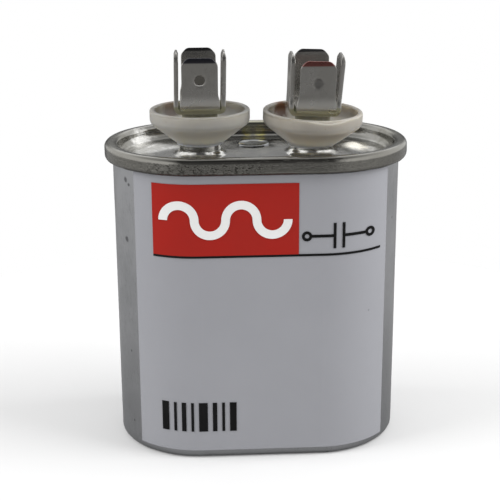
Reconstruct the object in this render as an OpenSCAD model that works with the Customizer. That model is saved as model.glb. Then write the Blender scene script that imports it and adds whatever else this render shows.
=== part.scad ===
// Motor run capacitor in a small oval case, with push-on tabs on two cup insulators.
// Millimetres. +Z up, origin at the centre of the base, label towards -Y.

/* [Case] */
// Width of the drawn can, end to end
body_w = 51.9; // [46:0.1:60]
// Depth of the drawn can, front to back
body_d = 30.4; // [29:0.1:33]
// Height from the base to the top of the seam
case_h = 56.2; // [52:0.1:95]
// Wall of the aluminium can
can_t = 0.5; // [0.4:0.05:0.6]
// Outside radius of the can's bottom edge
base_edge_r = 1.2; // [0.9:0.1:2]

/* [Lid and seam] */
// Thickness of the tin-plated steel lid
lid_t = 0.4; // [0.3:0.05:0.45]
// Height of the double seam
seam_h = 3; // [2.8:0.1:3.3]
// Slack between the folded layers of the seam
seam_slack = 0.05; // [0.03:0.01:0.08]
// Depth of the lid's well below the top of the seam
well_depth = 2.7; // [2.5:0.05:3]
// Inside radius of the fold between the well's wall and its floor
well_fold_r = 1.6; // [1.2:0.1:1.6]
// Distance between the two terminals
terminal_pitch = 20.2; // [19.4:0.1:20.6]
// Outside radius of a drawn collar
collar_r = 3.9; // [3.7:0.1:4.1]
// Height of the left collar above the floor of the well
collar_h = 2; // [1.9:0.1:2.4]
// How much lower the right collar is
right_drop = 0.6; // [0:0.1:0.6]

/* [Cup insulators] */
// Outside radius of the cup's rim
cup_r = 9; // [8.4:0.1:9.2]
// Height of the straight band under the rim
cup_band_h = 2.2; // [1.8:0.1:2.6]
// Height of the whole cup above its collar
cup_h = 6.25; // [6:0.05:7]
// Wall of the cup
cup_wall = 0.95; // [0.8:0.05:1.1]
// Lean of the right terminal, outwards, in degrees
right_lean = 2; // [0:0.5:3]
// Tilt of the right terminal, forwards, in degrees
right_tilt = 1.5; // [0:0.5:2]

/* [Tabs] */
// Width of a push-on tab
tab_w = 6.35; // [6.2:0.05:6.5]
// Thickness of the tab stock
tab_t = 0.8; // [0.7:0.05:0.85]
// Height of the side tabs above the underside of their own base
side_tab_h = 10.7; // [10:0.1:12]
// Height of the front and back tabs above the underside of their own base
cross_tab_h = 9.7; // [9:0.1:11]
// Lean of the front and back tabs, outwards, in degrees
cross_splay = 6.5; // [0:0.5:8]
// Lean of the right terminal's outer tab, in degrees
bent_tab_splay = 3; // [0:0.5:5]
// Radius of the catch in a tab
catch_r = 0.925; // [0.8:0.025:1]
// Distance from a tab's tip to the middle of its catch
catch_drop = 4; // [3.8:0.1:4.2]

/* [Inside] */
// Height of the space between the wound element and the seam
headroom = 13.7; // [12:0.1:16]
// Gap between the wound element and the can's wall
element_gap = 2.5; // [2.5:0.1:3.5]
// Radius of the lead wires
lead_r = 0.5; // [0.3:0.05:0.5]

/* [Label] */
// Width of the label, measured round the can
label_w = 47.4; // [46:0.1:49]
// Height of the bare metal below the label
label_foot = 1.6; // [1.3:0.1:4]
// Width of the red field, measured round the can
red_w = 25.6; // [20:0.1:26]
// Height of the red field
red_h = 12.8; // [11:0.1:16]

/* [Hidden] */
$fn = 72;
far = 60;                       // longer than anything that is cut

// Oval: straight sides of half-length `flat`, with half-round ends.
body_r = body_d / 2;
flat = (body_w - body_d) / 2;

// Layers of the seam, from the can's wall outwards.
hook_r0 = body_r + seam_slack;                   // inner face of the lid's hook
can_hook_r0 = hook_r0 + lid_t + seam_slack;      // inner face of the can's hook
skirt_r0 = can_hook_r0 + can_t + seam_slack;     // inner face of the lid's outer wall
seam_r = skirt_r0 + lid_t;
chuck_r1 = body_r - can_t - seam_slack;          // outer face of the wall that lines the can
chuck_r0 = chuck_r1 - lid_t;
top_bend_r = 0.55;                               // inside bend over the can's hook
foot_bend_r = (skirt_r0 - hook_r0 - lid_t) / 2;  // inside bend under the can's hook
can_bend_r = (can_hook_r0 - body_r) / 2;         // inside bend of the can's hook
seam_foot_z = case_h - seam_h;
can_bend_z = case_h - lid_t - seam_slack - can_bend_r - can_t;
foot_bend_z = seam_foot_z + lid_t + foot_bend_r;

// Lid floor, collars and the stack of each terminal.
floor_z = case_h - well_depth;
collar_fold_r = 1.2;
terminal_x = terminal_pitch / 2;
rivet_r = 1.5;                                   // shank below the collar's top
neck_r = 1.45;                                   // shank above it
play = 0.05;                                     // round the shank
post_r = 3.2;
seat_r = 4.25;                                   // washer of the cup on its collar
seat_h = 1.2;
tabs_up = cup_h - 0.4;                           // underside of the lower pair, above the collar
cross_up = tabs_up + tab_t;                      // underside of the upper pair
shoulder = 3.5;                                  // half-width of a base and its shoulders
tab_bend_r = 0.3;
cross_flat = 4.6;                                // half-length of the upper base's flat
gasket_h = 0.8;
bush_h = 1.2;
bush_r = 6.4;
lug_t = 0.5;
gasket_z = floor_z - lid_t - gasket_h;
bush_z = gasket_z - bush_h;
lug_z = bush_z - lug_t;
lead_x = terminal_x + 5.4;

// Vent hole and its solder.
vent_y = 5.7;
vent_r = 0.8;
solder_r = 2.85;
solder_h = 0.9;

// Wound element, from the can's floor upwards.
insulator_t = 0.6;
rib_h = 1.5;
spray_t = 0.5;
core_r = 1.3;
element_r = body_r - can_t - element_gap;
element_foot = can_t + insulator_t + rib_h;
element_top = case_h - headroom;
wrap_r = body_r - can_t - 0.8;
wrap_t = 0.5;
wrap_top = element_top + 4.1;

// Label and print.
label_t = 0.15;
ink_t = 0.1;
label_r = body_r + label_t;
label_s0 = 0.5 - label_w / 2;                    // the label sits a little to the right
red_s0 = label_s0 + 4.1;
red_top = case_h - 4.6;
rule_h = 0.4;
rule_inset = 1.9;                                // from the rule's end to the label's edge

// ---- Shapes that repeat ----

module oval(r) {
    square([2 * flat, 2 * r], center = true);
    for (side = [-1, 1]) translate([side * flat, 0]) circle(r = r);
}

module oval_tube(r_out, r_in, height) {
    linear_extrude(height) difference() {
        oval(r_out);
        oval(r_in);
    }
}

// Sweeps a section round the oval; its x is the distance from the end centres.
module oval_sweep() {
    for (turn = [0, 180]) rotate(turn) {
        translate([flat, 0]) rotate(-90) rotate_extrude(angle = 180) children();
        translate([-flat, 0]) rotate([90, 0, 90]) linear_extrude(2 * flat) children();
    }
}

// Section of a bent sheet, centred on its bend, from angle a0 to a1 (under 180 degrees apart).
module bend(r_in, t, a0, a1) {
    mid = (a0 + a1) / 2;
    reach = 4 * (r_in + t);
    intersection() {
        difference() {
            circle(r = r_in + t);
            circle(r = r_in);
        }
        polygon([[0, 0], reach * [cos(a0), sin(a0)], reach * [cos(mid), sin(mid)],
                 reach * [cos(a1), sin(a1)]]);
    }
}

module half_bend(r_in, t, start) {
    bend(r_in, t, start, start + 90);
    bend(r_in, t, start + 90, start + 180);
}

module strip(r0, r1, z0, z1) {
    translate([r0, z0]) square([r1 - r0, z1 - z0]);
}

// Places a child at the left (-1) or right (1) terminal.
module at_terminal(side) {
    translate([side * terminal_x, 0]) children();
}

function collar_z(side) = floor_z + collar_h - (side > 0 ? right_drop : 0);

// Places a child on a collar, leaning with the upper part of its terminal.
module on_collar(side) {
    at_terminal(side) translate([0, 0, collar_z(side)])
        rotate(side > 0 ? [right_tilt, right_lean, 0] : [0, 0, 0]) children();
}

module ring(r_out, r_in, z0, height) {
    translate([0, 0, z0]) difference() {
        cylinder(r = r_out, h = height);
        translate([0, 0, -1]) cylinder(r = r_in, h = height + 2);
    }
}

// ---- Can ----

module can_section() {
    strip(body_r - can_t, body_r, base_edge_r, can_bend_z);
    translate([body_r - base_edge_r, base_edge_r]) bend(base_edge_r - can_t, can_t, -90, 0);
    translate([body_r + can_bend_r, can_bend_z]) half_bend(can_bend_r, can_t, 0);
    strip(can_hook_r0, can_hook_r0 + can_t, foot_bend_z, can_bend_z);
}

module can() {
    color("#b4b8bc") {
        linear_extrude(can_t) oval(body_r - base_edge_r);
        oval_sweep() can_section();
    }
}

// ---- Lid ----

module lid_section() {
    well_r = chuck_r0 - well_fold_r;
    fold_z = floor_z + well_fold_r;
    bend_z = case_h - lid_t - top_bend_r;
    // floor fold, wall that lines the can, roll over the can's hook, outer wall, hook
    translate([well_r, fold_z]) bend(well_fold_r, lid_t, -90, 0);
    strip(chuck_r0, chuck_r1, fold_z, bend_z);
    translate([chuck_r1 + top_bend_r, bend_z]) bend(top_bend_r, lid_t, 90, 180);
    strip(chuck_r1 + top_bend_r, skirt_r0 - top_bend_r, case_h - lid_t, case_h);
    translate([skirt_r0 - top_bend_r, bend_z]) bend(top_bend_r, lid_t, 0, 90);
    strip(skirt_r0, seam_r, foot_bend_z, bend_z);
    translate([skirt_r0 - foot_bend_r, foot_bend_z]) half_bend(foot_bend_r, lid_t, 180);
    strip(hook_r0, hook_r0 + lid_t, foot_bend_z, can_bend_z - 0.2);
}

module collar_section(side) {
    translate([collar_r + collar_fold_r, floor_z + collar_fold_r])
        bend(collar_fold_r, lid_t, 180, 270);
    strip(collar_r - lid_t, collar_r, floor_z + collar_fold_r, collar_z(side));
}

module lid() {
    color("#8f8d84") {
        oval_sweep() lid_section();
        translate([0, 0, floor_z - lid_t]) linear_extrude(lid_t) difference() {
            oval(chuck_r0 - well_fold_r);
            for (side = [-1, 1]) at_terminal(side) circle(r = collar_r + collar_fold_r);
            translate([0, vent_y]) circle(r = vent_r);
        }
        for (side = [-1, 1]) at_terminal(side) rotate_extrude() collar_section(side);
    }
}

// Low dome of solder over the vent hole, with its plug.
module vent_seal() {
    dome_r = (pow(solder_r, 2) + pow(solder_h, 2)) / (2 * solder_h);
    color("#a39c6a") translate([0, vent_y, floor_z]) rotate_extrude() {
        intersection() {
            translate([0, solder_h - dome_r]) circle(r = dome_r);
            square([solder_r, solder_h]);
        }
        translate([0, -lid_t]) square([vent_r, lid_t + 0.1]);
    }
}

// ---- Cup insulators ----

// Outside and inside of the bowl, above the washer that sits on the collar.
module bowl_section() {
    foot_z = 0.35;
    foot_r = 4.4;
    bed_z = 1.7;      // bottom of the bowl, inside
    bed_r = 4.6;
    band_z = cup_h - cup_band_h;
    edge = 0.25;
    draft = 0.1;
    inner_r = cup_r - cup_wall;
    polygon([[post_r - 0.2, foot_z], [foot_r, foot_z], [cup_r - edge, band_z - edge],
             [cup_r, band_z + edge], [cup_r, cup_h - edge], [cup_r - edge, cup_h], [inner_r, cup_h],
             [inner_r - draft, band_z + 0.6], [bed_r, bed_z], [post_r - 0.2, bed_z]]);
}

// Bowl with a post under the tabs, a washer on the collar and a hub inside it.
module cup(side) {
    hub_h = collar_z(side) - gasket_z;
    color("#d8d4c8") difference() {
        union() {
            on_collar(side) {
                rotate_extrude() bowl_section();
                translate([0, 0, seat_h - 0.2]) cylinder(r = post_r, h = tabs_up - seat_h + 0.2);
            }
            at_terminal(side) {
                translate([0, 0, collar_z(side)]) cylinder(r = seat_r, h = seat_h);
                translate([0, 0, gasket_z]) cylinder(r = collar_r - lid_t - 0.05, h = hub_h + 0.5);
            }
        }
        on_collar(side) translate([0, 0, -0.2]) cylinder(r = neck_r + play, h = far);
        at_terminal(side) translate([0, 0, gasket_z - 1]) cylinder(r = rivet_r + play, h = hub_h + 1 + play);
    }
}

module left_cup() {
    cup(-1);
}

module right_cup() {
    cup(1);
}

// ---- Tabs ----

// Side view of a U of two tabs; splay holds the lean of each.
module tab_pair_section(flat_half, tip, splay) {
    rise = tab_bend_r + tab_t;
    nose = 1;         // height of the coined tip
    thin = 0.24;      // what coining takes off each face
    reach = tip - rise;
    translate([-flat_half, 0]) square([2 * flat_half, tab_t]);
    for (k = [0, 1]) mirror([1 - k, 0]) translate([flat_half, rise]) {
        bend(tab_bend_r, tab_t, -90, -splay[k]);
        rotate(-splay[k]) translate([tab_bend_r, 0])
            polygon([[0, 0], [tab_t, 0], [tab_t, reach - nose], [tab_t - thin, reach],
                     [thin, reach], [0, reach - nose]]);
    }
}

// Front view of a tab: wide shoulders, the standard width, and clipped corners.
module tab_face(tip) {
    half = tab_w / 2;
    clip = 1.1;
    shoulder_z = 1.9;
    polygon([[-shoulder, -1], [-shoulder, shoulder_z], [-half, shoulder_z + 1.1], [-half, tip - clip],
             [-half + clip, tip + 0.1], [half - clip, tip + 0.1], [half, tip - clip],
             [half, shoulder_z + 1.1], [shoulder, shoulder_z], [shoulder, -1]]);
}

// Cuts the catch into the outer face of each tab: a hole with a coined rim, or a dimple.
module catch_cut(flat_half, tip, splay, pierced) {
    rise = tab_bend_r + tab_t;
    rim_w = 0.4;      // coined rim of a hole
    rim_h = 0.14;
    dimple = 0.28;
    ball_r = (pow(catch_r, 2) + pow(dimple, 2)) / (2 * dimple);
    for (k = [0, 1]) mirror([1 - k, 0, 0]) translate([flat_half, 0, rise]) rotate([0, splay[k], 0])
        translate([tab_bend_r + tab_t, 0, tip - rise - catch_drop]) rotate([0, 90, 0]) {
            if (pierced) {
                translate([0, 0, -tab_t - 0.5]) cylinder(r = catch_r, h = tab_t + 1);
                translate([0, 0, -rim_h]) cylinder(r1 = catch_r, r2 = catch_r + rim_w, h = 2 * rim_h);
            } else {
                translate([0, 0, ball_r - dimple]) sphere(r = ball_r);
            }
        }
}

// One stamping with two tabs, standing in the X direction.
module tab_pair(flat_half, tip, splay, pierced) {
    color("#9a9a92") difference() {
        intersection() {
            rotate([90, 0, 0]) linear_extrude(4 * shoulder, center = true)
                tab_pair_section(flat_half, tip, splay);
            rotate([90, 0, 90]) linear_extrude(far, center = true) tab_face(tip);
        }
        catch_cut(flat_half, tip, splay, pierced);
        translate([0, 0, -1]) cylinder(r = rivet_r + 0.1, h = 3);
    }
}

module side_tabs(side, splay, pierced) {
    on_collar(side) translate([0, 0, tabs_up]) tab_pair(shoulder, side_tab_h, splay, pierced);
}

module cross_tabs(side, pierced) {
    on_collar(side) translate([0, 0, cross_up]) rotate(90)
        tab_pair(cross_flat, cross_tab_h, [cross_splay, cross_splay], pierced);
}

module left_side_tabs() {
    side_tabs(-1, [0, 0], true);
}

module left_cross_tabs() {
    cross_tabs(-1, true);
}

module right_side_tabs() {
    side_tabs(1, [0, bent_tab_splay], false);
}

module right_cross_tabs() {
    cross_tabs(1, false);
}

// ---- Terminal stack ----

// Shank with a low domed head on the tabs and a clenched foot under the lug.
module rivet(side) {
    head_up = cross_up + tab_t;
    head_r = 2.5;
    head_h = 0.85;
    foot_r = 2.3;
    foot_h = 0.7;
    dome_r = (pow(head_r, 2) + pow(head_h, 2)) / (2 * head_h);
    color("#a9a79c") {
        on_collar(side) rotate_extrude() {
            translate([0, head_up]) intersection() {
                translate([0, head_h - dome_r]) circle(r = dome_r);
                square([head_r, head_h]);
            }
            strip(0, neck_r, -0.3, head_up + 0.1);
        }
        at_terminal(side) rotate_extrude() {
            strip(0, rivet_r, lug_z - foot_h, collar_z(side));
            strip(0, foot_r, lug_z - foot_h, lug_z);
        }
    }
}

module left_rivet() {
    rivet(-1);
}

module right_rivet() {
    rivet(1);
}

module gasket(side) {
    color("#33322f") at_terminal(side) ring(bush_r, collar_r - lid_t + 0.05, gasket_z, gasket_h);
}

module left_gasket() {
    gasket(-1);
}

module right_gasket() {
    gasket(1);
}

module bush(side) {
    color("#cfc7ae") at_terminal(side) ring(bush_r, rivet_r + play, bush_z, bush_h);
}

module left_bush() {
    bush(-1);
}

module right_bush() {
    bush(1);
}

// Ring with a tongue towards the end of the can; the lead passes through its eye.
module solder_lug(side) {
    ring_r = 3.2;
    tongue_r = 1.5;
    color("#b7ad7c") translate([0, 0, lug_z]) linear_extrude(lug_t) difference() {
        union() {
            translate([side * terminal_x, 0]) circle(r = ring_r);
            translate([side * lead_x, 0]) circle(r = tongue_r);
            translate([side * (terminal_x + lead_x) / 2, 0])
                square([lead_x - terminal_x, 2 * tongue_r], center = true);
        }
        translate([side * terminal_x, 0]) circle(r = rivet_r + play);
        translate([side * lead_x, 0]) circle(r = lead_r + play);
    }
}

module left_solder_lug() {
    solder_lug(-1);
}

module right_solder_lug() {
    solder_lug(1);
}

// ---- Leads and interrupter ----

// Round wire through points in the X-Z plane.
module wire(points) {
    for (k = [0 : len(points) - 2]) {
        run = points[k + 1] - points[k];
        translate([points[k].x, 0, points[k].y]) rotate([0, atan2(run.x, run.y), 0])
            cylinder(r = lead_r, h = norm(run));
    }
    for (k = [1 : len(points) - 2]) translate([points[k].x, 0, points[k].y]) sphere(r = lead_r);
}

// Straight down to the upper end of the element.
module left_lead() {
    color("#b9b6a8") wire([[-lead_x, lug_z + lug_t], [-lead_x, element_top]]);
}

// Down past the element's end and in under its lower end.
module right_lead() {
    side_x = flat + (element_r + wrap_r - wrap_t) / 2;
    turn_z = element_top + 2;
    under_z = element_foot - lead_r;
    color("#b9b6a8") wire([[lead_x, lug_z + lug_t], [lead_x, turn_z], [side_x, turn_z],
                           [side_x, under_z], [side_x - 6, under_z]]);
}

// Board on the wrap's upper edge; a swelling lid pulls the leads apart above it.
module interrupter_plate() {
    board_t = 1;
    vent_hole_r = 2;
    color("#8a6f47") translate([0, 0, wrap_top]) linear_extrude(board_t) difference() {
        oval(wrap_r);
        for (side = [-1, 1]) {
            translate([side * lead_x, 0]) circle(r = lead_r + 0.3);
            translate([0, side * 8]) circle(r = vent_hole_r);
        }
    }
}

// ---- Wound element ----

module film_winding() {
    color("#c9ccce") translate([0, 0, element_foot + spray_t])
        oval_tube(element_r, core_r + 0.05, element_top - element_foot - 2 * spray_t);
}

module winding_core() {
    color("#e4e0d2") translate([0, 0, element_foot + spray_t])
        oval_tube(core_r, core_r - 0.5, element_top - element_foot - 2 * spray_t);
}

module top_end_spray() {
    color("#8e9094") translate([0, 0, element_top - spray_t]) linear_extrude(spray_t) oval(element_r);
}

module bottom_end_spray() {
    color("#8e9094") translate([0, 0, element_foot]) linear_extrude(spray_t) oval(element_r);
}

module insulating_wrap() {
    color("#cbb994") translate([0, 0, can_t + insulator_t])
        oval_tube(wrap_r, wrap_r - wrap_t, wrap_top - can_t - insulator_t);
}

// Shallow tray in the bottom of the can, with two ribs under the element.
module bottom_insulator() {
    tray_r = body_r - base_edge_r - 0.05;
    rib_w = 2;
    rib_x = 6;
    sunk = 0.1;       // how far a rib runs into the tray
    color("#e9e6da") {
        translate([0, 0, can_t]) linear_extrude(insulator_t) oval(tray_r);
        for (side = [-1, 1]) translate([side * rib_x, 0, can_t + insulator_t + (rib_h - sunk) / 2])
            cube([rib_w, 2 * element_r - 4, rib_h + sunk], center = true);
    }
}

// ---- Label and print ----

// Line from the oval's middle out through the point s millimetres round the front.
function edge_ray(s) =
    let (past = max(abs(s) - flat, 0) / body_r * 180 / PI, dir = s < 0 ? -1 : 1,
         foot = [dir * min(abs(s), flat), 0])
    [foot, foot + far * [dir * sin(past), -cos(past)]];

// Skin on the front of the can between two places round it.
module skin(r, t, s0, s1, z0, height) {
    left = edge_ray(s0);
    right = edge_ray(s1);
    translate([0, 0, z0]) linear_extrude(height) intersection() {
        difference() {
            oval(r + t);
            oval(r);
        }
        polygon([left[0], left[1], right[1], right[0]]);
    }
}

// Presses a flat drawing (x across, y up) onto the front as a layer of ink.
module printed(r) {
    intersection() {
        skin(r, ink_t, -label_w / 2, label_w / 2, 0, case_h);
        rotate([90, 0, 0]) linear_extrude(far) children();
    }
}

module label() {
    color("#b9bbc0") skin(body_r, label_t, label_s0, label_s0 + label_w, label_foot,
                          seam_foot_z - label_foot - 0.2);
}

module red_field() {
    color("#c2362f") skin(label_r, ink_t, red_s0, red_s0 + red_w, red_top - red_h, red_h);
}

module black_rule() {
    color("#161616") skin(label_r, ink_t, red_s0, label_s0 + label_w - rule_inset,
                          red_top - red_h - rule_h, rule_h);
}

// Two periods of a wave on the red field.
module white_wave() {
    stroke = 1.5;
    wave_r = 2.7;
    color("#f4f3f1") printed(label_r + ink_t)
        translate([-6.2, red_top - red_h / 2]) for (k = [0 : 3])
            translate([(k - 1.5) * 2 * wave_r, 0])
                half_bend(wave_r - stroke / 2, stroke, k % 2 == 0 ? 0 : 180);
}

// Row of plain bars at the foot of the label.
module black_bars() {
    widths = [1.2, 0.5, 0.8, 0.5, 1.6, 0.8, 0.5, 1.2];
    gap = 0.9;
    first_x = -18;
    foot_z = 5.4;
    bar_h = 5.6;
    function reach(k) = k == 0 ? 0 : reach(k - 1) + widths[k - 1] + gap;
    color("#161616") printed(label_r) for (k = [0 : len(widths) - 1])
        translate([first_x + reach(k), foot_z]) square([widths[k], bar_h]);
}

// Circuit sign for a capacitor: two plates, their leads and two open ends.
module circuit_sign() {
    line = 0.5;
    plate_x = 0.8;
    plate_h = 4.6;
    end_x = 5.7;
    end_r = 0.9;
    color("#161616") printed(label_r) translate([13.6, red_top - 9.6]) for (side = [-1, 1]) {
        translate([side * plate_x, 0]) square([line, plate_h], center = true);
        translate([side * (plate_x + end_x - end_r) / 2, 0])
            square([end_x - end_r - plate_x + line, line], center = true);
        translate([side * end_x, 0]) difference() {
            circle(r = end_r);
            circle(r = end_r - line);
        }
    }
}

can();
lid();
vent_seal();
left_cup();
right_cup();
left_side_tabs();
left_cross_tabs();
right_side_tabs();
right_cross_tabs();
left_rivet();
right_rivet();
left_gasket();
right_gasket();
left_bush();
right_bush();
left_solder_lug();
right_solder_lug();
left_lead();
right_lead();
interrupter_plate();
film_winding();
winding_core();
top_end_spray();
bottom_end_spray();
insulating_wrap();
bottom_insulator();
label();
red_field();
black_rule();
white_wave();
black_bars();
circuit_sign();
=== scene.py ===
"""Looks of a motor run capacitor in a small oval case.

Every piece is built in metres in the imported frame: +X runs from the left terminal to the right one,
-Y comes out of the labelled front, and +Z goes up from the base.
"""

import logging
import math
from collections.abc import Callable, Sequence
from dataclasses import dataclass, field
from enum import Enum

import bmesh
import bpy
from mathutils import Matrix, Vector, geometry, noise


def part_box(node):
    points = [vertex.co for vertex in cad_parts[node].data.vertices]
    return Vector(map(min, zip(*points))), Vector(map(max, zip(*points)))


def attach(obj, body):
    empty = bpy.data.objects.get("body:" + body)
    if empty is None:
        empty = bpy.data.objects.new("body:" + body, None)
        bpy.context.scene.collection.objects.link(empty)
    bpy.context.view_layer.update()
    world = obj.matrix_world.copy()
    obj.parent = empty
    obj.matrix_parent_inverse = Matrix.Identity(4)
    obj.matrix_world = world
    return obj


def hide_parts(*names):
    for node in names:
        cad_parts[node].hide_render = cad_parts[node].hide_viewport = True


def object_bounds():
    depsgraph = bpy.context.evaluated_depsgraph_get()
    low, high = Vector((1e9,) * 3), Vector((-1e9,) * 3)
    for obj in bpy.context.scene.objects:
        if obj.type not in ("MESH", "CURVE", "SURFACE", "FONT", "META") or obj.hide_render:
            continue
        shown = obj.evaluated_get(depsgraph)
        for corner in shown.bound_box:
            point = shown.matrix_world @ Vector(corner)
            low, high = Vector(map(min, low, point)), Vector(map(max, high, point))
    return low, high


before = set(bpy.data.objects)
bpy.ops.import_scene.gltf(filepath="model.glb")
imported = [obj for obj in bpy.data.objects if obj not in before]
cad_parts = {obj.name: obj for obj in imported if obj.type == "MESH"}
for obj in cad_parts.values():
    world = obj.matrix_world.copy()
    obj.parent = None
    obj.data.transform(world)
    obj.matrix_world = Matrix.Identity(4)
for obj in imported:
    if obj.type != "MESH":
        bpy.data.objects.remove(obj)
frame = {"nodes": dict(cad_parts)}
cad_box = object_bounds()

log = logging.getLogger("capacitor")

MM = 0.001
BODY = "root"
WELD = 0.002 * MM  # vertices closer than this are one
Colour = tuple[float, float, float]
Triple = tuple[float, float, float]
Point2 = tuple[float, float]
Warp = Callable[[Vector], Vector]


class Slot(str, Enum):
    """Material slots of the record; each new piece is given one, which the script does not read."""

    TINPLATE = "tinplate"
    CAN = "can_aluminium"
    CUP = "cup_plastic"
    TABS = "tinned_brass"
    SOLDER = "solder"


class Side(Enum):
    """The two terminals, by the sign of their X."""

    LEFT = -1
    RIGHT = 1

    @property
    def word(self) -> str:
        """The word that starts the names of this terminal's pieces."""
        return self.name.lower()


# ---- Shader nodes ----


class NodeSheet:
    """Short calls for adding and linking the nodes of one tree."""

    def __init__(self, tree: bpy.types.NodeTree) -> None:
        """Keeps the tree that the calls work on."""
        self.tree = tree

    def add(self, kind: str, **settings: object) -> bpy.types.Node:
        """Adds a node and sets its plain properties.

        Args:
            kind: Blender's name for the node type.
            settings: properties to set on the node.

        Returns:
            The new node.
        """
        node = self.tree.nodes.new(kind)
        for key, value in settings.items():
            setattr(node, key, value)
        return node

    def feed(self, socket: bpy.types.NodeSocket, value: object) -> None:
        """Links a socket into another, or sets a plain value on it.

        Args:
            socket: the input to feed.
            value: a socket or a plain value.
        """
        if isinstance(value, bpy.types.NodeSocket):
            self.tree.links.new(value, socket)
        else:
            socket.default_value = value

    def math(self, operation: str, a: object, b: object = 0.0) -> bpy.types.NodeSocket:
        """Adds a Math node.

        Args:
            operation: the Math node's operation.
            a: first value or socket.
            b: second value or socket.

        Returns:
            The node's result.
        """
        node = self.add("ShaderNodeMath", operation=operation)
        self.feed(node.inputs[0], a)
        self.feed(node.inputs[1], b)
        return node.outputs[0]

    def remap(self, value: object, low: object, high: object, to_low: float = 0.0, to_high: float = 1.0,
              smooth: bool = True) -> bpy.types.NodeSocket:
        """Maps a value from one range to another, held at the ends.

        Args:
            value: the value or socket to map.
            low: value that gives to_low.
            high: value that gives to_high.
            to_low: result at the low end.
            to_high: result at the high end.
            smooth: whether the change eases in and out.

        Returns:
            The mapped value.
        """
        kind = "SMOOTHSTEP" if smooth else "LINEAR"
        node = self.add("ShaderNodeMapRange", interpolation_type=kind)
        self.feed(node.inputs["Value"], value)
        self.feed(node.inputs["From Min"], low)
        self.feed(node.inputs["From Max"], high)
        node.inputs["To Min"].default_value = to_low
        node.inputs["To Max"].default_value = to_high
        return node.outputs["Result"]

    def blend(self, factor: object, a: object, b: object) -> bpy.types.NodeSocket:
        """Mixes two colours.

        Args:
            factor: share of the second colour.
            a: first colour or socket.
            b: second colour or socket.

        Returns:
            The mixed colour.
        """
        node = self.add("ShaderNodeMix", data_type="RGBA")
        self.feed(node.inputs[0], factor)
        self.feed(node.inputs[6], a)
        self.feed(node.inputs[7], b)
        return node.outputs[2]

    def fade(self, share: object, a: object, b: object) -> bpy.types.NodeSocket:
        """Mixes two values.

        Args:
            share: share of the second value.
            a: first value or socket.
            b: second value or socket.

        Returns:
            The mixed value.
        """
        node = self.add("ShaderNodeMix", data_type="FLOAT")
        self.feed(node.inputs[0], share)
        self.feed(node.inputs[2], a)
        self.feed(node.inputs[3], b)
        return node.outputs[0]

    def noise(self, vector: object, scale: object, detail: float = 3.0,
              rough: float = 0.55) -> bpy.types.NodeSocket:
        """Adds a noise texture.

        Args:
            vector: socket with the coordinates.
            scale: cells for each metre.
            detail: octaves of detail.
            rough: strength of the finer octaves.

        Returns:
            The noise value, about 0.5 in the middle.
        """
        node = self.add("ShaderNodeTexNoise")
        self.feed(node.inputs["Vector"], vector)
        self.feed(node.inputs["Scale"], scale)
        node.inputs["Detail"].default_value = detail
        node.inputs["Roughness"].default_value = rough
        return node.outputs[0]

    def place(self, stretch: object = (1.0, 1.0, 1.0)) -> bpy.types.NodeSocket:
        """Gives the piece's own coordinates in metres, stretched along its axes.

        Args:
            stretch: factor along each axis.

        Returns:
            The stretched coordinates.
        """
        where = self.add("ShaderNodeTexCoord")
        node = self.add("ShaderNodeVectorMath", operation="MULTIPLY")
        self.feed(node.inputs[0], where.outputs["Object"])
        self.feed(node.inputs[1], stretch)
        return node.outputs[0]

    def height(self) -> bpy.types.NodeSocket:
        """Gives the height above the base.

        Returns:
            The height in metres.
        """
        node = self.add("ShaderNodeSeparateXYZ")
        self.feed(node.inputs[0], self.add("ShaderNodeTexCoord").outputs["Object"])
        return node.outputs[2]


@dataclass
class Effect:
    """A shader node group that several finishes share, built once.

    Attributes:
        name: name of the group.
        inputs: name and default of each float or vector input.
        output: name of the single output.
        body: function that draws the group between its inputs and its output.
        tree: the group, once it is built.
    """

    name: str
    inputs: dict[str, object]
    output: str
    body: Callable[[NodeSheet, dict[str, bpy.types.NodeSocket]], bpy.types.NodeSocket]
    tree: bpy.types.NodeTree | None = None

    def build(self) -> bpy.types.NodeTree:
        """Builds the group the first time that a finish asks for it.

        Returns:
            The node group.
        """
        if self.tree is None:
            tree = bpy.data.node_groups.new(self.name, "ShaderNodeTree")
            for label, default in self.inputs.items():
                kind = "NodeSocketVector" if isinstance(default, tuple) else "NodeSocketFloat"
                socket = tree.interface.new_socket(name=label, in_out="INPUT", socket_type=kind)
                socket.default_value = default
            tree.interface.new_socket(name=self.output, in_out="OUTPUT", socket_type="NodeSocketFloat")
            sheet = NodeSheet(tree)
            ends = sheet.add("NodeGroupInput").outputs
            result = self.body(sheet, {label: ends[label] for label in self.inputs})
            sheet.feed(sheet.add("NodeGroupOutput").inputs[0], result)
            self.tree = tree
        return self.tree

    def use(self, sheet: NodeSheet, **values: object) -> bpy.types.NodeSocket:
        """Places the group in a material.

        Args:
            sheet: the material's node sheet.
            values: an input's value or socket, by its name in lower case with underscores.

        Returns:
            The group's output.
        """
        node = sheet.add("ShaderNodeGroup", node_tree=self.build(), label=self.name)
        for label in self.inputs:
            key = label.lower().replace(" ", "_")
            if key in values:
                sheet.feed(node.inputs[label], values[key])
        return node.outputs[self.output]


def draw_smudges(sheet: NodeSheet, ends: dict[str, bpy.types.NodeSocket]) -> bpy.types.NodeSocket:
    """Soft patches, such as finger marks and stains.

    Args:
        sheet: the group's node sheet.
        ends: the group's inputs by name.

    Returns:
        The mask.
    """
    where = sheet.place(ends["Stretch"])
    cloud = sheet.noise(where, ends["Scale"], 4.0, 0.6)
    return sheet.remap(cloud, ends["Low"], ends["High"])


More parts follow.
